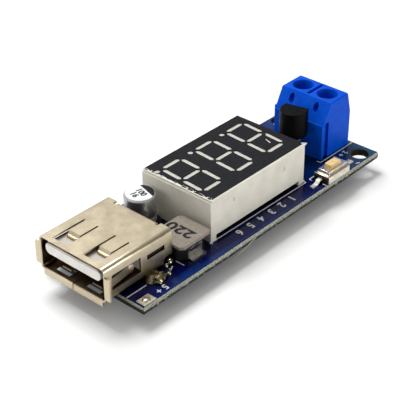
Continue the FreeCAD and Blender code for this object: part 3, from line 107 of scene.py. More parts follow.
camera_glow = 0.03
paper = bpy.data.materials.new("white_paper")
paper.use_nodes = True
shader_of(paper).inputs["Base Color"].default_value = rgb(250, 250, 249)
shader_of(paper).inputs["Roughness"].default_value = 0.9
shader_of(paper).inputs["Specular IOR Level"].default_value = 0.0
paper_glow = add_node(paper, "ShaderNodeEmission", Strength=reckon(
    paper, "MULTIPLY", seen_by(paper, "Is Camera Ray"), camera_glow))
lit_paper = add_node(paper, "ShaderNodeAddShader", i0=shader_of(paper).outputs[0],
                     i1=paper_glow.outputs[0])
paper.node_tree.links.new(lit_paper.outputs[0],
                          paper.node_tree.nodes["Material Output"].inputs["Surface"])
table_mesh.materials.append(paper)

# Studio: a white sweep over the object and behind it, and a dim room on the camera's side. The
# light falls off from the one to the other. To the camera the whole studio looks white.


def ramp(material, value, low, high, start=0.0, end=1.0):
    """Goes from start to end while a value goes from low to high, and no further."""
    return add_node(material, "ShaderNodeMapRange", Value=value, From_Min=low, From_Max=high,
                    To_Min=start, To_Max=end).outputs[0]


studio = bpy.data.worlds.new("studio")
bpy.context.scene.world = studio
studio.use_nodes = True
sweep_direction, room_light, sweep_light = (-0.05, 0.65, 0.75), 0.07, 0.60
room_side, sweep_side = -0.2, 0.75
towards_sweep = add_node(studio, "ShaderNodeVectorMath", {"operation": "DOT_PRODUCT"},
                         i0=add_node(studio, "ShaderNodeTexCoord").outputs["Generated"],
                         i1=sweep_direction).outputs["Value"]
studio_light = reckon(studio, "MAXIMUM",
                      ramp(studio, towards_sweep, room_side, sweep_side, room_light, sweep_light),
                      seen_by(studio, "Is Camera Ray", "Is Transmission Ray"))
background = studio.node_tree.nodes["Background"]
studio.node_tree.links.new(studio_light, background.inputs["Strength"])
background.inputs["Color"].default_value = (1, 1, 1, 1)

# Three cloth-fronted lamps: a big one high over the far side, which throws the shadow towards
# the near edge, and two weak low ones, which keep the near side and the socket's end pale.


def softbox(name, place, aim, size, watts):
    """A square soft lamp; place, aim and size are in millimetres."""
    lamp = bpy.data.lights.new(name, "AREA")
    lamp.shape = "SQUARE"
    lamp.size = size * MM
    lamp.energy = watts
    stand = bpy.data.objects.new(name, lamp)
    bpy.context.scene.collection.objects.link(stand)
    stand.location = Vector(place) * MM
    stand.rotation_euler = (Vector(aim) - Vector(place)).to_track_quat("-Z", "Y").to_euler()


softbox("overhead_softbox", (12, 122, 250), (0, 0, 0), 130, 0.61)
softbox("near_softbox", (60, -270, 58), (0, 0, 6), 90, 0.27)
softbox("end_softbox", (-260, 90, 70), (0, 0, 6), 90, 0.08)

# The camera stands off the corner where the socket meets the near edge, and looks down. Its
# place, aim, lens and roll come from the photograph's own perspective.
camera_place = Vector((-119.71, -105.22, 107.01)) * MM
camera_aim = Vector((-1.78, -0.389, 3.6)) * MM
camera_roll = math.radians(-0.258)
picture_side, focal_pixels, sensor = 416, 1208.776, 36.0
camera_data = bpy.data.cameras.new("camera")
camera_data.sensor_width = sensor
camera_data.lens = focal_pixels * sensor / picture_side
camera_data.clip_start = MM
camera = bpy.data.objects.new("camera", camera_data)
bpy.context.scene.collection.objects.link(camera)
camera.matrix_world = (Matrix.Translation(camera_place)
                       @ (camera_aim - camera_place).to_track_quat("-Z", "Y").to_matrix().to_4x4()
                       @ Matrix.Rotation(camera_roll, 4, "Z"))
bpy.context.scene.camera = camera
bpy.context.scene.view_settings.view_transform = "Standard"

# Bare board: 1.2 mm glass-fibre laminate under a glossy blue lacquer, with drilled holes. It was
# scored and snapped along its long edges, which are rough, pale and a little green.


def mixed(material, amount, first, second):
    """The first colour where the amount is 0 and the second where it is 1. The node keeps its
    colours in sockets 6 and 7."""
    return add_node(material, "ShaderNodeMix", {"data_type": "RGBA"}, i0=amount, i6=first,
                    i7=second).outputs[2]


def finish(name, pale, dark, grain, roughness, relief=0.0, metallic=0.0, shine=0.5, blotch=None):
    """A material with a mottled colour, uneven gloss and a fine relief. The grain, the relief
    and the blotches of the gloss are in millimetres."""
    material = bpy.data.materials.new(name)
    material.use_nodes = True
    shader = shader_of(material)
    shader.inputs["Metallic"].default_value = metallic
    shader.inputs["Specular IOR Level"].default_value = shine
    place = add_node(material, "ShaderNodeTexCoord").outputs["Object"]
    mottle = add_node(material, "ShaderNodeTexNoise", Vector=place, Scale=1 / (grain * MM),
                      Detail=5.0, Roughness=0.6).outputs["Fac"]
    gloss = add_node(material, "ShaderNodeTexNoise", Vector=place,
                     Scale=1 / ((blotch or 4 * grain) * MM), Detail=3.0).outputs["Fac"]
    mottle_range, gloss_range = (0.32, 0.68), (0.3, 0.7)
    links = material.node_tree.links
    links.new(mixed(material, ramp(material, mottle, *mottle_range), dark, pale),
              shader.inputs["Base Color"])
    links.new(ramp(material, gloss, *gloss_range, *roughness), shader.inputs["Roughness"])
    if relief:
        bump = add_node(material, "ShaderNodeBump", Height=mottle, Distance=relief * MM,
                        Strength=1.0)
        links.new(bump.outputs[0], shader.inputs["Normal"])
    return material


def colour_of(material):
    """The colour that a finish has so far."""
    return shader_of(material).inputs["Base Color"].links[0].from_socket


def recolour(material, colour):
    """Gives a finish another colour."""
    material.node_tree.links.new(colour, shader_of(material).inputs["Base Color"])


def places(material):
    """The x, y and z of each point of the object, in metres."""
    return add_node(material, "ShaderNodeSeparateXYZ",
                    Vector=add_node(material, "ShaderNodeTexCoord").outputs["Object"]).outputs


def shade_hollows(material, reach, low, high, tint):
    """Paints shade into a finish in hollows: fully where the share of open room within reach, in
    millimetres, is down to low, and not at all from high on."""
    openness = add_node(material, "ShaderNodeAmbientOcclusion", {"samples": 8},
                        Distance=reach * MM).outputs["AO"]
    recolour(material, mixed(material, ramp(material, openness, low, high), tint,
                             colour_of(material)))


def paint(material, *names):
    """Gives CAD nodes whose shape is right their material."""
    for name in names:
        slots = frame["nodes"][name].material_slots
        if len(slots):
            for slot in slots:
                slot.material = material
        else:
            frame["nodes"][name].data.materials.append(material)


board_low, board_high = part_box("pcb")
board_top, board_bottom = board_high.z / MM, board_low.z / MM
flat_gloss, edge_gloss, lacquer_shine = 0.2, 0.85, 0.22
lacquer = finish("blue_lacquer", rgb(5, 17, 92), rgb(3, 10, 68), 3.0, (flat_gloss, flat_gloss),
                 shine=lacquer_shine)
x, y, z = places(lacquer)
greener_from, greener_to = 14 * MM, 30 * MM
flat_colour = mixed(lacquer, ramp(lacquer, x, greener_from, greener_to), colour_of(lacquer),
                    rgb(8, 66, 104))
weave, torn_relief, flat_relief_share = 0.35 * MM, 0.12 * MM, 0.04
layers = add_node(lacquer, "ShaderNodeMapping", Scale=(1.0, 1.0, 4.0),
                  Vector=add_node(lacquer, "ShaderNodeTexCoord").outputs["Object"]).outputs[0]
fibre = add_node(lacquer, "ShaderNodeTexNoise", Vector=layers, Scale=1 / weave, Detail=8.0,
                 Roughness=0.7).outputs["Fac"]
bare_laminate = mixed(lacquer, ramp(lacquer, fibre, 0.42, 0.6), rgb(88, 96, 82),
                      rgb(222, 224, 208))
# Below the score line the edge is painted dark: partly the torn web's own colour, partly painted
# shade under the board.
score_low, score_high = (board_bottom + 0.55) * MM, (board_bottom + 0.8) * MM
edge_colour_and_shade = mixed(lacquer, ramp(lacquer, z, score_low, score_high), rgb(44, 46, 38),
                    bare_laminate)
rim = 0.2 * MM
in_bore = reckon(lacquer, "LESS_THAN", reckon(lacquer, "ABSOLUTE", y), board_high.y - rim)
for inside in (reckon(lacquer, "LESS_THAN", x, board_high.x - rim),
               reckon(lacquer, "GREATER_THAN", x, board_low.x + rim)):
    in_bore = reckon(lacquer, "MULTIPLY", in_bore, inside)
wall_colour = mixed(lacquer, in_bore, edge_colour_and_shade, rgb(74, 58, 28))
facing = add_node(lacquer, "ShaderNodeSeparateXYZ",
                  Vector=add_node(lacquer, "ShaderNodeNewGeometry").outputs["True Normal"])
least_upright = 0.8
is_flat = reckon(lacquer, "GREATER_THAN", reckon(lacquer, "ABSOLUTE", facing.outputs[2]),
                 least_upright)
recolour(lacquer, mixed(lacquer, is_flat, wall_colour, flat_colour))
lacquer_links, lacquer_sockets = lacquer.node_tree.links, shader_of(lacquer).inputs
lacquer_links.new(ramp(lacquer, is_flat, 0.0, 1.0, edge_gloss, flat_gloss),
                  lacquer_sockets["Roughness"])
fibre_relief = add_node(lacquer, "ShaderNodeBump", Height=fibre, Distance=torn_relief,
                        Strength=ramp(lacquer, is_flat, 0.0, 1.0, 1.0, flat_relief_share))
lacquer_links.new(fibre_relief.outputs[0], lacquer_sockets["Normal"])
# Painted shade: the lacquer turns near black in hollows, as beside the socket and the parts.
board_hollow_shade = 5, 0.25, 0.85, rgb(2, 2, 5)
shade_hollows(lacquer, *board_hollow_shade)
paint(lacquer, "pcb")

# Loose ends of glass fibre, left by the snapping: short white ones lie along the near edge, most
# of them on the torn middle of it, and one long splinter hangs down from it.


def place_piece(name, bm, material, body="board", crease=35, flat=()):
    """Turns a bmesh, in metres, into a piece that rides on a body; flat faces stay flat."""
    bmesh.ops.recalc_face_normals(bm, faces=bm.faces)
    mesh = bpy.data.meshes.new(name)
    curved = [face not in flat for face in bm.faces]
    bm.to_mesh(mesh)
    bm.free()
    mesh.set_sharp_from_angle(angle=math.radians(crease))
    mesh.polygons.foreach_set("use_smooth", curved)
    mesh.materials.append(material)
    piece = bpy.data.objects.new(name, mesh)
    bpy.context.scene.collection.objects.link(piece)
    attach(piece, body)
    return piece


fibre_white = finish("glass_fibre", rgb(225, 223, 210), rgb(160, 162, 145), 0.3, (0.5, 0.8))
chance = random.Random(11)
fibre_count, torn_share, near_edge = 190, 0.7, board_low.y / MM
bm = bmesh.new()
for _ in range(fibre_count):
    torn = chance.random() < torn_share
    start = Vector((chance.uniform(-26.4, 29.5), near_edge + (0.01 if torn else 0.15),
                    board_bottom + chance.uniform(0.42, 0.8) if torn else board_top - 0.05))
    length, thickness = chance.uniform(0.2, 0.9), chance.uniform(0.02, 0.06)
    spike = bmesh.ops.create_cone(bm, cap_ends=True, segments=5, radius1=thickness * MM,
                                  radius2=0.004 * MM, depth=length * MM)["verts"]
    lean = Matrix.Rotation(math.radians(chance.choice((90, -90)) + chance.uniform(-14, 14)),
                           4, "Y")
    swing = Matrix.Rotation(math.radians(chance.uniform(-12, 4)), 4, "Z")
    bmesh.ops.transform(bm, verts=spike, matrix=Matrix.Translation(start * MM) @ swing @ lean)
root, tip = Vector((-2.4, -10.58, 3.0)) * MM, Vector((-8.36, -10.75, 1.6)) * MM
splinter = bmesh.ops.create_cone(bm, cap_ends=True, segments=6, radius1=0.09 * MM,
                                 radius2=0.01 * MM, depth=(tip - root).length)["verts"]
bmesh.ops.transform(bm, verts=splinter, matrix=Matrix.Translation((root + tip) / 2)
                    @ (tip - root).to_track_quat("Z", "Y").to_matrix().to_4x4())
place_piece("loose_fibres", bm, fibre_white)

# Copper tracks and pours: 0.035 mm foil under the lacquer, which looks lighter over the metal.
# They were etched on both sides, and small plated holes join the two.


def box(bm, low, high, turn=0.0):
    """A block between two corners in millimetres, turned about its own middle in degrees."""
    low, high = Vector(low), Vector(high)
    middle, size = (low + high) / 2 * MM, (high - low) * MM
    return bmesh.ops.create_cube(bm, size=1.0, matrix=Matrix.Translation(middle)
                                 @ Matrix.Rotation(math.radians(turn), 4, "Z")
                                 @ Matrix.Diagonal((*size, 1)))["verts"]


def drum(bm, middle, radius, height, segments):
    """An upright cylinder on a middle point, in millimetres."""
    bmesh.ops.create_cone(bm, cap_ends=True, segments=segments, radius1=radius * MM,
                          radius2=radius * MM, depth=height * MM,
                          matrix=Matrix.Translation(Vector(middle) * MM))


foil, hole_radius = 0.035, 0.3
over_copper = finish("lacquer_over_copper", rgb(12, 46, 112), rgb(6, 32, 90), 2.0, (0.16, 0.24),
                     relief=0.004, shine=lacquer_shine)
# Painted shade in the hollows, as on the bare lacquer.
shade_hollows(over_copper, *board_hollow_shade)
for side, foil_z, tracks in (
        ("top_copper", board_top,
         ((-19.8, -10.35, -13.6, -8.9), (-13.6, -10.35, -5.2, -9.5), (-5.2, -10.2, 12.6, -9.9),
          (-23.4, -10.35, -19.8, -10.0), (-26.2, 9.3, 14.0, 10.3), (-9.3, 7.6, 20.0, 8.0),
          (-9.1, -7.5, -8.75, 7.6), (14.2, -6.6, 14.5, 6.4), (14.5, 6.1, 22.4, 6.4),
          (22.9, 6.0, 25.4, 10.3))),
        ("bottom_copper", board_bottom - foil,
         ((-26.2, -10.3, -14.8, -7.4), (-22.8, 6.4, -7.6, 10.3), (-7.4, 9.5, 24.9, 10.3),
          (-8.6, -3.9, -1.4, -3.5), (-8.6, 3.0, -1.4, 3.4), (6.6, -1.2, 17.8, -0.8),
          (6.6, 0.4, 17.8, 0.8), (6.6, 1.6, 12.0, 2.0), (19.8, -6.4, 25.3, -1.0),
          (19.8, 1.0, 25.3, 6.4), (9.8, -8.9, 10.2, -1.2), (10.2, -8.9, 24.0, -8.5),
          (-18.6, -1.8, -13.9, -1.2), (-18.6, 1.5, -13.9, 2.1)))):
    bm = bmesh.new()
    for left, near, right, far in tracks:
        box(bm, (left, near, foil_z), (right, far, foil_z + foil))
    place_piece(side, bm, over_copper)
bm = bmesh.new()
for hole_x, hole_y in ((15.6, -8.9), (15.6, 7.4), (-9.0, -8.6), (-17.0, 9.8), (-14.5, 9.8),
                       (-12.0, 9.8), (-3.0, 8.4), (4.0, 8.4), (11.0, 8.9), (17.0, -6.0),
                       (21.6, 8.6), (-10.6, -9.9), (12.0, 1.8), (8.6, -2.6), (10.0, -1.0)):
    drum(bm, (hole_x, hole_y, (board_top + board_bottom) / 2), hole_radius,
         board_top - board_bottom + 2 * foil + 0.01, 16)
place_piece("plated_holes", bm, over_copper)

# White ink, printed on the lacquer through a screen: part outlines, the pin numbers of the
# display beside its pins, plus and minus, and plain numbers in place of all other words.
ink = finish("white_ink", rgb(244, 244, 240), rgb(206, 210, 214), 0.25, (0.5, 0.7))
ink_height, line_width, fine_line_width = 0.055, 0.15, 0.14


def stroke(bm, start, end, z, width=line_width):
    """A straight printed line between two points, lying on height z."""
    start, end = Vector((*start, z)) * MM, Vector((*end, z)) * MM
    line = end - start
    verts = bmesh.ops.create_cube(bm, size=1.0)["verts"]
    bmesh.ops.transform(bm, verts=verts, matrix=Matrix.Translation((start + end) / 2)
                        @ Matrix.Rotation(math.atan2(line.y, line.x), 4, "Z")
                        @ Matrix.Diagonal((line.length, width * MM, ink_height * MM, 1)))


def figure(bm, text, middle, height, turn=0.0, weight=0.0, stretch=1.0, flip=False,
           thick=ink_height):
    """Printed figures, as flat solid shapes centred on a point, in millimetres and degrees."""
    curve = bpy.data.curves.new("figure", "FONT")
    curve.body = text
    curve.align_x, curve.align_y = "CENTER", "CENTER"
    curve.size = 1.0
    curve.offset = weight
    curve.extrude = 0.5
    curve.resolution_u = 3
    holder = bpy.data.objects.new("figure", curve)
    mesh = bpy.data.meshes.new_from_object(holder)
    figure_height = 0.7
    scale = height / figure_height * MM
    mesh.transform(Matrix.Translation(Vector(middle) * MM)
                   @ Matrix.Rotation(math.radians(turn), 4, "Z")
                   @ Matrix.Rotation(math.pi if flip else 0.0, 4, "X")
                   @ Matrix.Diagonal((scale * stretch, scale, thick * MM, 1)))
    bm.from_mesh(mesh)
    bpy.data.objects.remove(holder)
    bpy.data.curves.remove(curve)
    bpy.data.meshes.remove(mesh)


bm = bmesh.new()
line_z, under_z = board_top + ink_height / 2, board_bottom - ink_height / 2
for start, end in (
        ((-26.5, -7.07), (-22.56, -7.07)), ((-8.41, -7.05), (14.2, -7.3)),
        ((14.2, -7.3), (14.2, -6.75)), ((-8.7, -7.4), (-8.7, -6.9)),
        ((-8.95, -7.15), (-8.41, -7.15)), ((-15.5, -7.9), (-15.5, -6.2)),
        ((-17.75, -7.25), (-16.75, -6.75)), ((-17.75, -7.25), (-17.5, -6.8)),
        ((20.7, -5.35), (29.4, -5.35)), ((20.7, -5.35), (20.7, -4.6)),
        ((20.7, 5.75), (29.4, 5.75)), ((-26.5, 8.05), (-22.9, 8.05)),
        ((-8.9, 7.3), (14.2, 7.3)), ((14.2, 7.3), (14.2, 6.75))):
    stroke(bm, start, end, line_z)
for start, end in (
        ((15.3, -7.15), (15.3, -7.7)), ((15.3, -7.15), (22.9, -7.15)),
        ((15.6, -10.35), (15.6, -9.6)), ((22.9, -7.15), (22.9, -7.6)),
        ((23.6, -8.3), (24.6, -8.3)), ((24.3, -9.9), (25.0, -10.2))):
    stroke(bm, start, end, line_z, fine_line_width)
pin_count, pin_pitch, pin_width, numbers_y, numbers_height = 6, 2.54, 0.45, -8.45, 1.35
first_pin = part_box("display_pins")[0].x / MM + pin_width / 2
for number in range(pin_count):
    figure(bm, str(pin_count - number), (first_pin + pin_pitch * number, numbers_y, line_z),
           numbers_height, 180, 0.015)
for text, text_x, text_y, height, weight in (
        ("+", -22.4, -9.3, 1.1, 0.01), ("5", -21.1, -9.3, 1.15, 0.01),
        ("-", -22.4, 9.3, 1.1, 0.01), ("+", 24.9, -6.35, 1.0, 0.03),
        ("2", 26.1, -6.35, 0.9, 0.03), ("1", 23.7, -6.35, 0.9, 0.03)):
    figure(bm, text, (text_x, text_y, line_z), height, 180, weight)
for node, ends_room, sides_room in (("buck_controller_body", 0.35, 1.35),
                                    ("meter_controller_body", 0.35, 1.35),
                                    ("diode_body", 1.0, 0.35), ("resistor_bodies", 0.4, 0.7),
                                    ("ceramic_capacitor_bodies", 0.4, 0.7)):
    low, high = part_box(node)
    left, right = low.x / MM - ends_room, high.x / MM + ends_room
    near, far = low.y / MM - sides_room, high.y / MM + sides_room
    for start, end in (((left, near), (right, near)), ((left, far), (right, far)),
                       ((left, near), (left, far)), ((right, near), (right, far))):
        stroke(bm, start, end, under_z)
    figure(bm, "1", (left - 0.7, near + 0.7, under_z), 1.0, 0, 0.03, flip=True)
for text, text_x, text_y in (("1", 22.4, -3.4), ("2", 22.4, 3.4), ("+", -23.0, -9.3),
                             ("-", -23.0, 9.3)):
    figure(bm, text, (text_x, text_y, under_z), 1.2, 0, 0.03, flip=True)
place_piece("board_print", bm, ink)

# USB socket shell: one strip of nickel-plated steel, blanked, folded round the insulator and
# closed by a seam underneath. Its springs are lanced out of it. Brown shade is painted into its
# hollows, all but the top millimetre, which keeps the unshaded colour.
record = frame["record"]
body_of = {node: body for body, nodes in record["behaviour"]["bodies"].items() for node in nodes}


def copy_of(node):
    """A clean copy of a CAD node's mesh: merged corners and whole flat faces."""
    bm = bmesh.new()
    bm.from_mesh(frame["nodes"][node].data)
    bmesh.ops.remove_doubles(bm, verts=bm.verts, dist=0.002 * MM)
    bmesh.ops.dissolve_limit(bm, angle_limit=math.radians(1), verts=bm.verts, edges=bm.edges)
    return bm


def soften(bm, width, segments, sharper_than):
    """Rounds the sharp edges of a piece, width in millimetres, and returns its flat faces."""
    edges = [edge for edge in bm.edges if len(edge.link_faces) == 2
             and edge.calc_face_angle(0) > math.radians(sharper_than)]
    rounds = set(bmesh.ops.bevel(bm, geom=edges, offset=width * MM, offset_type="OFFSET",
                                 affect="EDGES", segments=segments, profile=0.5, material=-1,
                                 clamp_overlap=True)["faces"])
    large_face, least_bend = 2.5 * MM ** 2, 0.01

    def bends_into(face, edge):
        others = [other for other in edge.link_faces if other is not face]
        return (len(others) == 1 and others[0] not in rounds
                and least_bend < edge.calc_face_angle(0) < math.radians(sharper_than))

    return {face for face in bm.faces if face not in rounds
            and (face.calc_area() > large_face
                 or not any(bends_into(face, edge) for edge in face.edges))}


def dressed(node, material, width, segments=2, sharper_than=30, crease=35):
    """The node's own shape with its sharp edges rounded, standing in for the node."""
    bm = copy_of(node)
    flat = soften(bm, width, segments, sharper_than)
    piece = place_piece(node + "_skin", bm, material, body_of[node], crease, flat)
    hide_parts(node)


shell_low, shell_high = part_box("usb_shell")
nickel = finish("satin_nickel", rgb(213, 201, 174), rgb(203, 188, 160), 0.9, (0.28, 0.36),
                relief=0.002, metallic=1.0, blotch=2.0)
unshaded_nickel = colour_of(nickel)
# Painted shade: brown in the mouth and other hollows; the top stays unshaded, so the springs'
# tips stay bright.
shade_hollows(nickel, 7, 0.42, 0.80, rgb(72, 46, 24))
unshaded_from, unshaded_to = shell_high.z - 1.1 * MM, shell_high.z - 0.9 * MM
unshaded_top = ramp(nickel, places(nickel)["Z"], unshaded_from, unshaded_to)
recolour(nickel, mixed(nickel, unshaded_top, colour_of(nickel), unshaded_nickel))
dressed("usb_shell", nickel, 0.05, sharper_than=40)

# USB insulator: a moulded block of white plastic, with the tongue that carries the contacts.
# Those are four stamped springs, plated with gold, whose tails are pins through the board.
tongue_plastic = finish("tongue_plastic", rgb(250, 247, 241), rgb(240, 237, 231), 1.5,
                        (0.35, 0.5), relief=0.004, shine=0.3)
# Painted shade: the tongue is greyer under the shell's top plate, near black at its sides behind
# the side slots, and brown in its hollows.
slots_start, tongue_side, plate_depth = -22.2 * MM, 5.1 * MM, 1.15 * MM
x, y, z = places(tongue_plastic)
off_middle = reckon(tongue_plastic, "SUBTRACT", y, (shell_low.y + shell_high.y) / 2)
shade_behind_slot = reckon(
    tongue_plastic, "MULTIPLY",
    reckon(tongue_plastic, "GREATER_THAN", reckon(tongue_plastic, "ABSOLUTE", off_middle),
           tongue_side),
    reckon(tongue_plastic, "GREATER_THAN", x, slots_start))
shade_under_plate = reckon(tongue_plastic, "GREATER_THAN", z, shell_high.z - plate_depth)
plate_shaded_tongue = mixed(tongue_plastic, shade_under_plate, colour_of(tongue_plastic), rgb(206, 199, 188))
recolour(tongue_plastic, mixed(tongue_plastic, shade_behind_slot, plate_shaded_tongue, rgb(30, 24, 20)))
shade_hollows(tongue_plastic, 3, 0.12, 0.48, rgb(52, 34, 20))
dressed("usb_insulator", tongue_plastic, 0.12, 3)
gold = finish("contact_gold", rgb(214, 180, 120), rgb(190, 150, 90), 0.5, (0.25, 0.4),
              metallic=1.0)
paint(gold, "usb_contacts")

# Solder: bright and smooth at the pins, brown and crinkled at the two tabs of the shell, which
# took a hot iron. The output pads are tinned flat, with a small dome on each.
tin = finish("soft_solder", rgb(206, 202, 190), rgb(170, 160, 136), 0.5, (0.16, 0.34),
             relief=0.02, metallic=1.0)
paint(tin, "usb_pin_solder", "display_solder", "terminal_solder", "regulator_solder")
pad_tin = finish("pad_tin", rgb(206, 198, 178), rgb(176, 166, 144), 0.35, (0.3, 0.5),
                 relief=0.02, metallic=0.6)
paint(pad_tin, "output_pads")
flux_tin = finish("flux_stained_solder", rgb(190, 177, 146), rgb(60, 48, 32), 0.8, (0.14, 0.3),
                  relief=0.03, metallic=1.0)
paint(flux_tin, "usb_tab_solder")
bm = bmesh.new()
pads_low, pads_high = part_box("output_pads")
dome_radius, dome_sink, dome_shape = 0.62 * MM, 0.02 * MM, (1.1, 1, 0.45, 1)
for dome_y in (-9.5, 9.5):
    bmesh.ops.create_uvsphere(
        bm, u_segments=24, v_segments=12, radius=dome_radius,
        matrix=Matrix.Translation(((pads_low.x + pads_high.x) / 2, dome_y * MM,
                                   pads_high.z - dome_sink)) @ Matrix.Diagonal(dome_shape))
for spot, size in (((-16.35, -5.95, 3.95), (0.75, 0.42, 0.5)),
                   ((-17.45, -6.2, 3.8), (0.5, 0.35, 0.4)),
                   ((-18.5, -7.7, 3.75), (0.45, 0.4, 0.35))):
    bmesh.ops.create_uvsphere(bm, u_segments=20, v_segments=10, radius=MM,
                              matrix=Matrix.Translation(Vector(spot) * MM)
                              @ Matrix.Rotation(0.5, 4, "Z") @ Matrix.Diagonal((*size, 1)))
place_piece("solder_beads", bm, tin)


def keep_beyond(bm, point, direction):
    """Cuts a piece by a plane, keeps what lies in its direction, and closes the cut."""
    bmesh.ops.bisect_plane(bm, geom=bm.verts[:] + bm.edges[:] + bm.faces[:], plane_co=point,
                           plane_no=direction, clear_inner=True)
    bmesh.ops.holes_fill(bm, edges=[edge for edge in bm.edges if edge.is_boundary])


bm = bmesh.new()
lump_size, ridge_scale, ridge_height = Vector((1.25, 1.0, 0.65)) * MM, 0.9, 0.34 * MM
for tab_y in (-7.65, 8.55):
    heart = Vector((-20.4, tab_y, board_top + 0.3)) * MM
    lump = bmesh.ops.create_icosphere(
        bm, subdivisions=4, radius=1.0,
        matrix=Matrix.Translation(heart) @ Matrix.Diagonal((*lump_size, 1)))["verts"]
    for vert in lump:
        ridge = noise.ridged_multi_fractal(vert.co / MM * ridge_scale, 0.9, 2.1, 4, 1.0, 2.0)
        vert.co += (vert.co - heart).normalized() * (ridge - 0.9) * ridge_height
keep_beyond(bm, (0, 0, board_top * MM), (0, 0, 1))
place_piece("tab_solder_peaks", bm, flux_tin, crease=50)

# Display cup: white polycarbonate, moulded. It has chips along its short rim, flash at the top
# and the foot of one corner, and brown scuffs where the ejector pins pushed.
cup_white = finish("cup_white", rgb(232, 228, 216), rgb(220, 215, 202), 2.5, (0.45, 0.6),
                   relief=0.006, shine=0.3)
dressed("display_housing", cup_white, 0.1)
cup_low, cup_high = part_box("display_housing")
cup_left, cup_right, cup_near = cup_low.x / MM, cup_high.x / MM, cup_low.y / MM
rim_z, rim_width, rim_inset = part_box("display_face")[1].z / MM, 0.48, 0.12
chip_count, chip_root, chipped_length = 34, 0.06, 13.0
bm = bmesh.new()
box(bm, (cup_left + rim_inset, cup_near + rim_inset, rim_z - chip_root),
    (cup_left + rim_width, -cup_near - rim_inset, rim_z + 0.012))
for _ in range(chip_count):
    chip_y = cup_near + 0.2 + chipped_length * chance.random() ** 1.5
    long, wide = chance.uniform(0.3, 1.1), chance.uniform(0.05, 0.3)
    box(bm, (cup_left + 0.3, chip_y, rim_z - chip_root),
        (cup_left + rim_width + wide, chip_y + long, rim_z + 0.015), chance.uniform(-9, 9))
place_piece("rim_chips", bm, cup_white)
bm = bmesh.new()
flash = bmesh.ops.create_cone(bm, cap_ends=True, segments=3, radius1=0.75 * MM,
                              radius2=0.05 * MM, depth=1.3 * MM)["verts"]
bmesh.ops.transform(bm, verts=flash, matrix=Matrix.Translation(
    Vector((cup_right + 0.25, cup_near + 0.3, 10.45)) * MM)
    @ Vector((1.0, -0.15, 0.12)).to_track_quat("Z", "Y").to_matrix().to_4x4()
    @ Matrix.Diagonal((0.22, 1, 1, 1)))
box(bm, (cup_right - 0.5, cup_near, board_top + 0.05),
    (cup_right + 0.35, cup_near + 0.12, board_top + 0.3), 6)
place_piece("mould_flash", bm, cup_white)
scuff_brown = finish("scuff", rgb(176, 160, 138), rgb(206, 198, 182), 0.2, (0.6, 0.8), shine=0.2)
bm = bmesh.new()
for scuff_x, scuff_z, width, height in ((-3.35, 8.84, 0.24, 0.7), (8.81, 8.6, 0.22, 0.6),
                                        (8.6, 8.2, 0.1, 0.3)):
    box(bm, (scuff_x - width / 2, cup_near - 0.012, scuff_z - height / 2),
        (scuff_x + width / 2, cup_near + 0.03, scuff_z + height / 2))
place_piece("ejector_scuffs", bm, scuff_brown)

# Display face: a matt black film, open over the segments, which are wells of clear resin with
# white walls. A scratch runs over the film and has bared the white plastic at its end.
face_black = finish("face_black", rgb(31, 32, 36), rgb(24, 25, 29), 0.2, (0.55, 0.7),
                    relief=0.004, shine=0.12)
paint(face_black, "display_face")
window_resin = finish("window_resin", rgb(212, 209, 200), rgb(198, 195, 186), 0.6, (0.3, 0.4),
                      shine=0.3)
paint(window_resin, "display_segments")
bm = bmesh.new()
stroke(bm, (12.1, -0.2), (10.9, -1.5), rim_z, 0.34)
place_piece("face_scratch", bm, face_black)
bm = bmesh.new()
stroke(bm, (10.9, -1.4), (10.5, -2.7), rim_z, 0.16)
place_piece("bared_plastic", bm, cup_white)

# Inside of the display: a thin green board that carries the light emitting dies. Two rows of
# tinned square pins run from it down through the module's board, where they are soldered.
led_board_green = finish("led_board_green", rgb(46, 88, 52), rgb(34, 70, 40), 1.0, (0.4, 0.5))
paint(led_board_green, "display_led_board")
tinned = finish("tinned_wire", rgb(222, 220, 212), rgb(196, 192, 182), 0.4, (0.2, 0.35),
                relief=0.003, metallic=1.0)
paint(tinned, "display_pins")

# Output capacitor: an aluminium can crimped over a rubber bung on a black plastic foot. Its
# top is printed white, with a black sector on the minus side and plain figures.
can_metal = finish("can_aluminium", rgb(214, 214, 212), rgb(190, 190, 188), 1.2, (0.38, 0.5),
                   relief=0.002, metallic=1.0)
dressed("capacitor_can", can_metal, 0.04, sharper_than=50, crease=30)
foot_black = finish("foot_black", rgb(22, 22, 23), rgb(12, 12, 13), 0.4, (0.45, 0.6),
                    relief=0.005, shine=0.2)
paint(foot_black, "capacitor_base")
paint(tinned, "capacitor_leads")
can_low, can_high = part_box("capacitor_can")
can_middle, can_top = (can_low + can_high) / 2 / MM, can_high.z / MM
can_turn, printed_radius, sector_start = -15.4, 2.22, 1.15
can_white = finish("can_print_white", rgb(246, 246, 246), rgb(234, 234, 236), 0.8, (0.35, 0.5),
                   shine=0.3)
bm = bmesh.new()
drum(bm, (can_middle.x, can_middle.y, can_top), printed_radius, 0.03, 64)
place_piece("can_print", bm, can_white)
bm = bmesh.new()
drum(bm, (can_middle.x, can_middle.y, can_top + 0.01), printed_radius + 0.01, 0.035, 64)
outward = Vector((math.cos(math.radians(can_turn)), math.sin(math.radians(can_turn)), 0))
keep_beyond(bm, (Vector((can_middle.x, can_middle.y, 0)) + outward * sector_start) * MM, outward)
for text, shift in (("100", 0.25), ("16", -0.95)):
    spot = can_middle + outward * shift
    figure(bm, text, (spot.x, spot.y, can_top + 0.01), 1.0, can_turn - 90, 0.04, thick=0.035)
place_piece("can_sector", bm, foot_black)

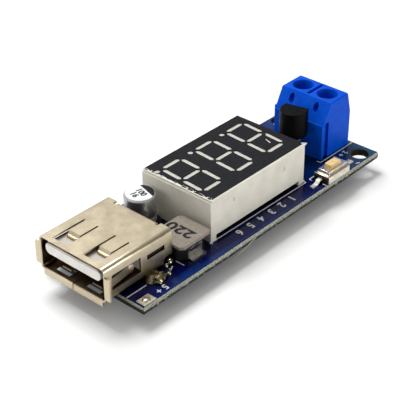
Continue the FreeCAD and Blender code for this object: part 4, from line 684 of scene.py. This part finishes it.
# Power coil: a pressed ferrite body with a wider top flange, wound inside with enamelled copper
# and held by tinned clips. The flange is ground flat and stamped with its value in plain figures.
ferrite = finish("pressed_ferrite", rgb(150, 140, 129), rgb(132, 123, 113), 0.5, (0.45, 0.7),
                 relief=0.02, shine=0.25)
coil_low, coil_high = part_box("coil_body")
coil_middle = (coil_low + coil_high) / 2 / MM
# Below the ground top the body is painted near black: partly the raw pressed ferrite, partly
# painted shade on its sides.
shade_line_low, shade_line_high = coil_high.z - 0.5 * MM, coil_high.z - 0.4 * MM
ground_unshaded_top = ramp(ferrite, places(ferrite)["Z"], shade_line_low, shade_line_high)
recolour(ferrite, mixed(ferrite, ground_unshaded_top, rgb(24, 23, 24), colour_of(ferrite)))
dressed("coil_body", ferrite, 0.12)
enamelled_copper = finish("enamelled_copper", rgb(150, 84, 48), rgb(110, 58, 32), 0.3,
                          (0.25, 0.4), metallic=0.6)
paint(enamelled_copper, "coil_winding")
paint(tinned, "coil_clips")
bm = bmesh.new()
figure(bm, "220", (coil_middle.x + 0.25, coil_middle.y + 0.35, coil_high.z / MM), 1.9, 90, 0.03,
       1.25, thick=0.02)
place_piece("coil_value", bm, foot_black)

# Push switch: a nickel-plated steel cover, clenched over a moulded black base with a spring dome
# in it, and a cream plastic button. The leads are bright tin, bent down to the board.
cover_nickel = finish("cover_nickel", rgb(236, 228, 212), rgb(218, 208, 190), 0.8, (0.24, 0.36),
                      relief=0.002, metallic=1.0)
dressed("switch_cover", cover_nickel, 0.08)
paint(foot_black, "switch_base")
paint(cover_nickel, "switch_dome")
bright_tin = finish("bright_tin", rgb(240, 238, 230), rgb(222, 219, 210), 0.4, (0.3, 0.45),
                    metallic=0.5)
paint(bright_tin, "switch_leads")
cream = finish("button_cream", rgb(238, 208, 150), rgb(226, 190, 130), 0.6, (0.45, 0.6),
               shine=0.3)
dressed("switch_button", cream, 0.1)

# Screw terminal: glass-filled nylon, moulded in blue. The contacts and the wire guards are bent
# from zinc-plated sheet. Each screw turns in the tapped top of its contact and drives its guard.
nylon = finish("blue_nylon", rgb(0, 86, 216), rgb(0, 73, 198), 1.2, (0.38, 0.52),
               relief=0.008, shine=0.06)
dressed("terminal_housing", nylon, 0.14)
zinc = finish("bright_zinc", rgb(206, 206, 202), rgb(178, 178, 176), 0.6, (0.22, 0.4),
              relief=0.004, metallic=1.0)
paint(zinc, "terminal_contact_1", "terminal_contact_2", "wire_guard_1", "wire_guard_2",
      "terminal_screw_1", "terminal_screw_2")

# Regulator: a half-round package of black epoxy, its flat facing the terminal. It is moulded
# round three tinned legs, which are soldered under the board.
epoxy = finish("black_epoxy", rgb(6, 6, 7), rgb(2, 2, 3), 0.25, (0.35, 0.55),
               relief=0.01, shine=0.08)
dressed("regulator_body", epoxy, 0.07)
paint(tinned, "regulator_legs")

# Surface-mounted parts under the board, soldered by their tinned ends: two controllers and a
# diode in black epoxy, glass-topped resistors and tan ceramic capacitors.
paint(epoxy, "meter_controller_body", "buck_controller_body", "diode_body")
resistor_glass = finish("resistor_glass", rgb(22, 22, 24), rgb(12, 12, 14), 0.5, (0.15, 0.25))
paint(resistor_glass, "resistor_bodies")
ceramic_tan = finish("ceramic_tan", rgb(178, 142, 100), rgb(158, 122, 84), 0.5, (0.4, 0.6))
paint(ceramic_tan, "ceramic_capacitor_bodies")
paint(tinned, "meter_controller_leads", "buck_controller_leads", "resistor_ends",
      "ceramic_capacitor_ends", "diode_tabs")
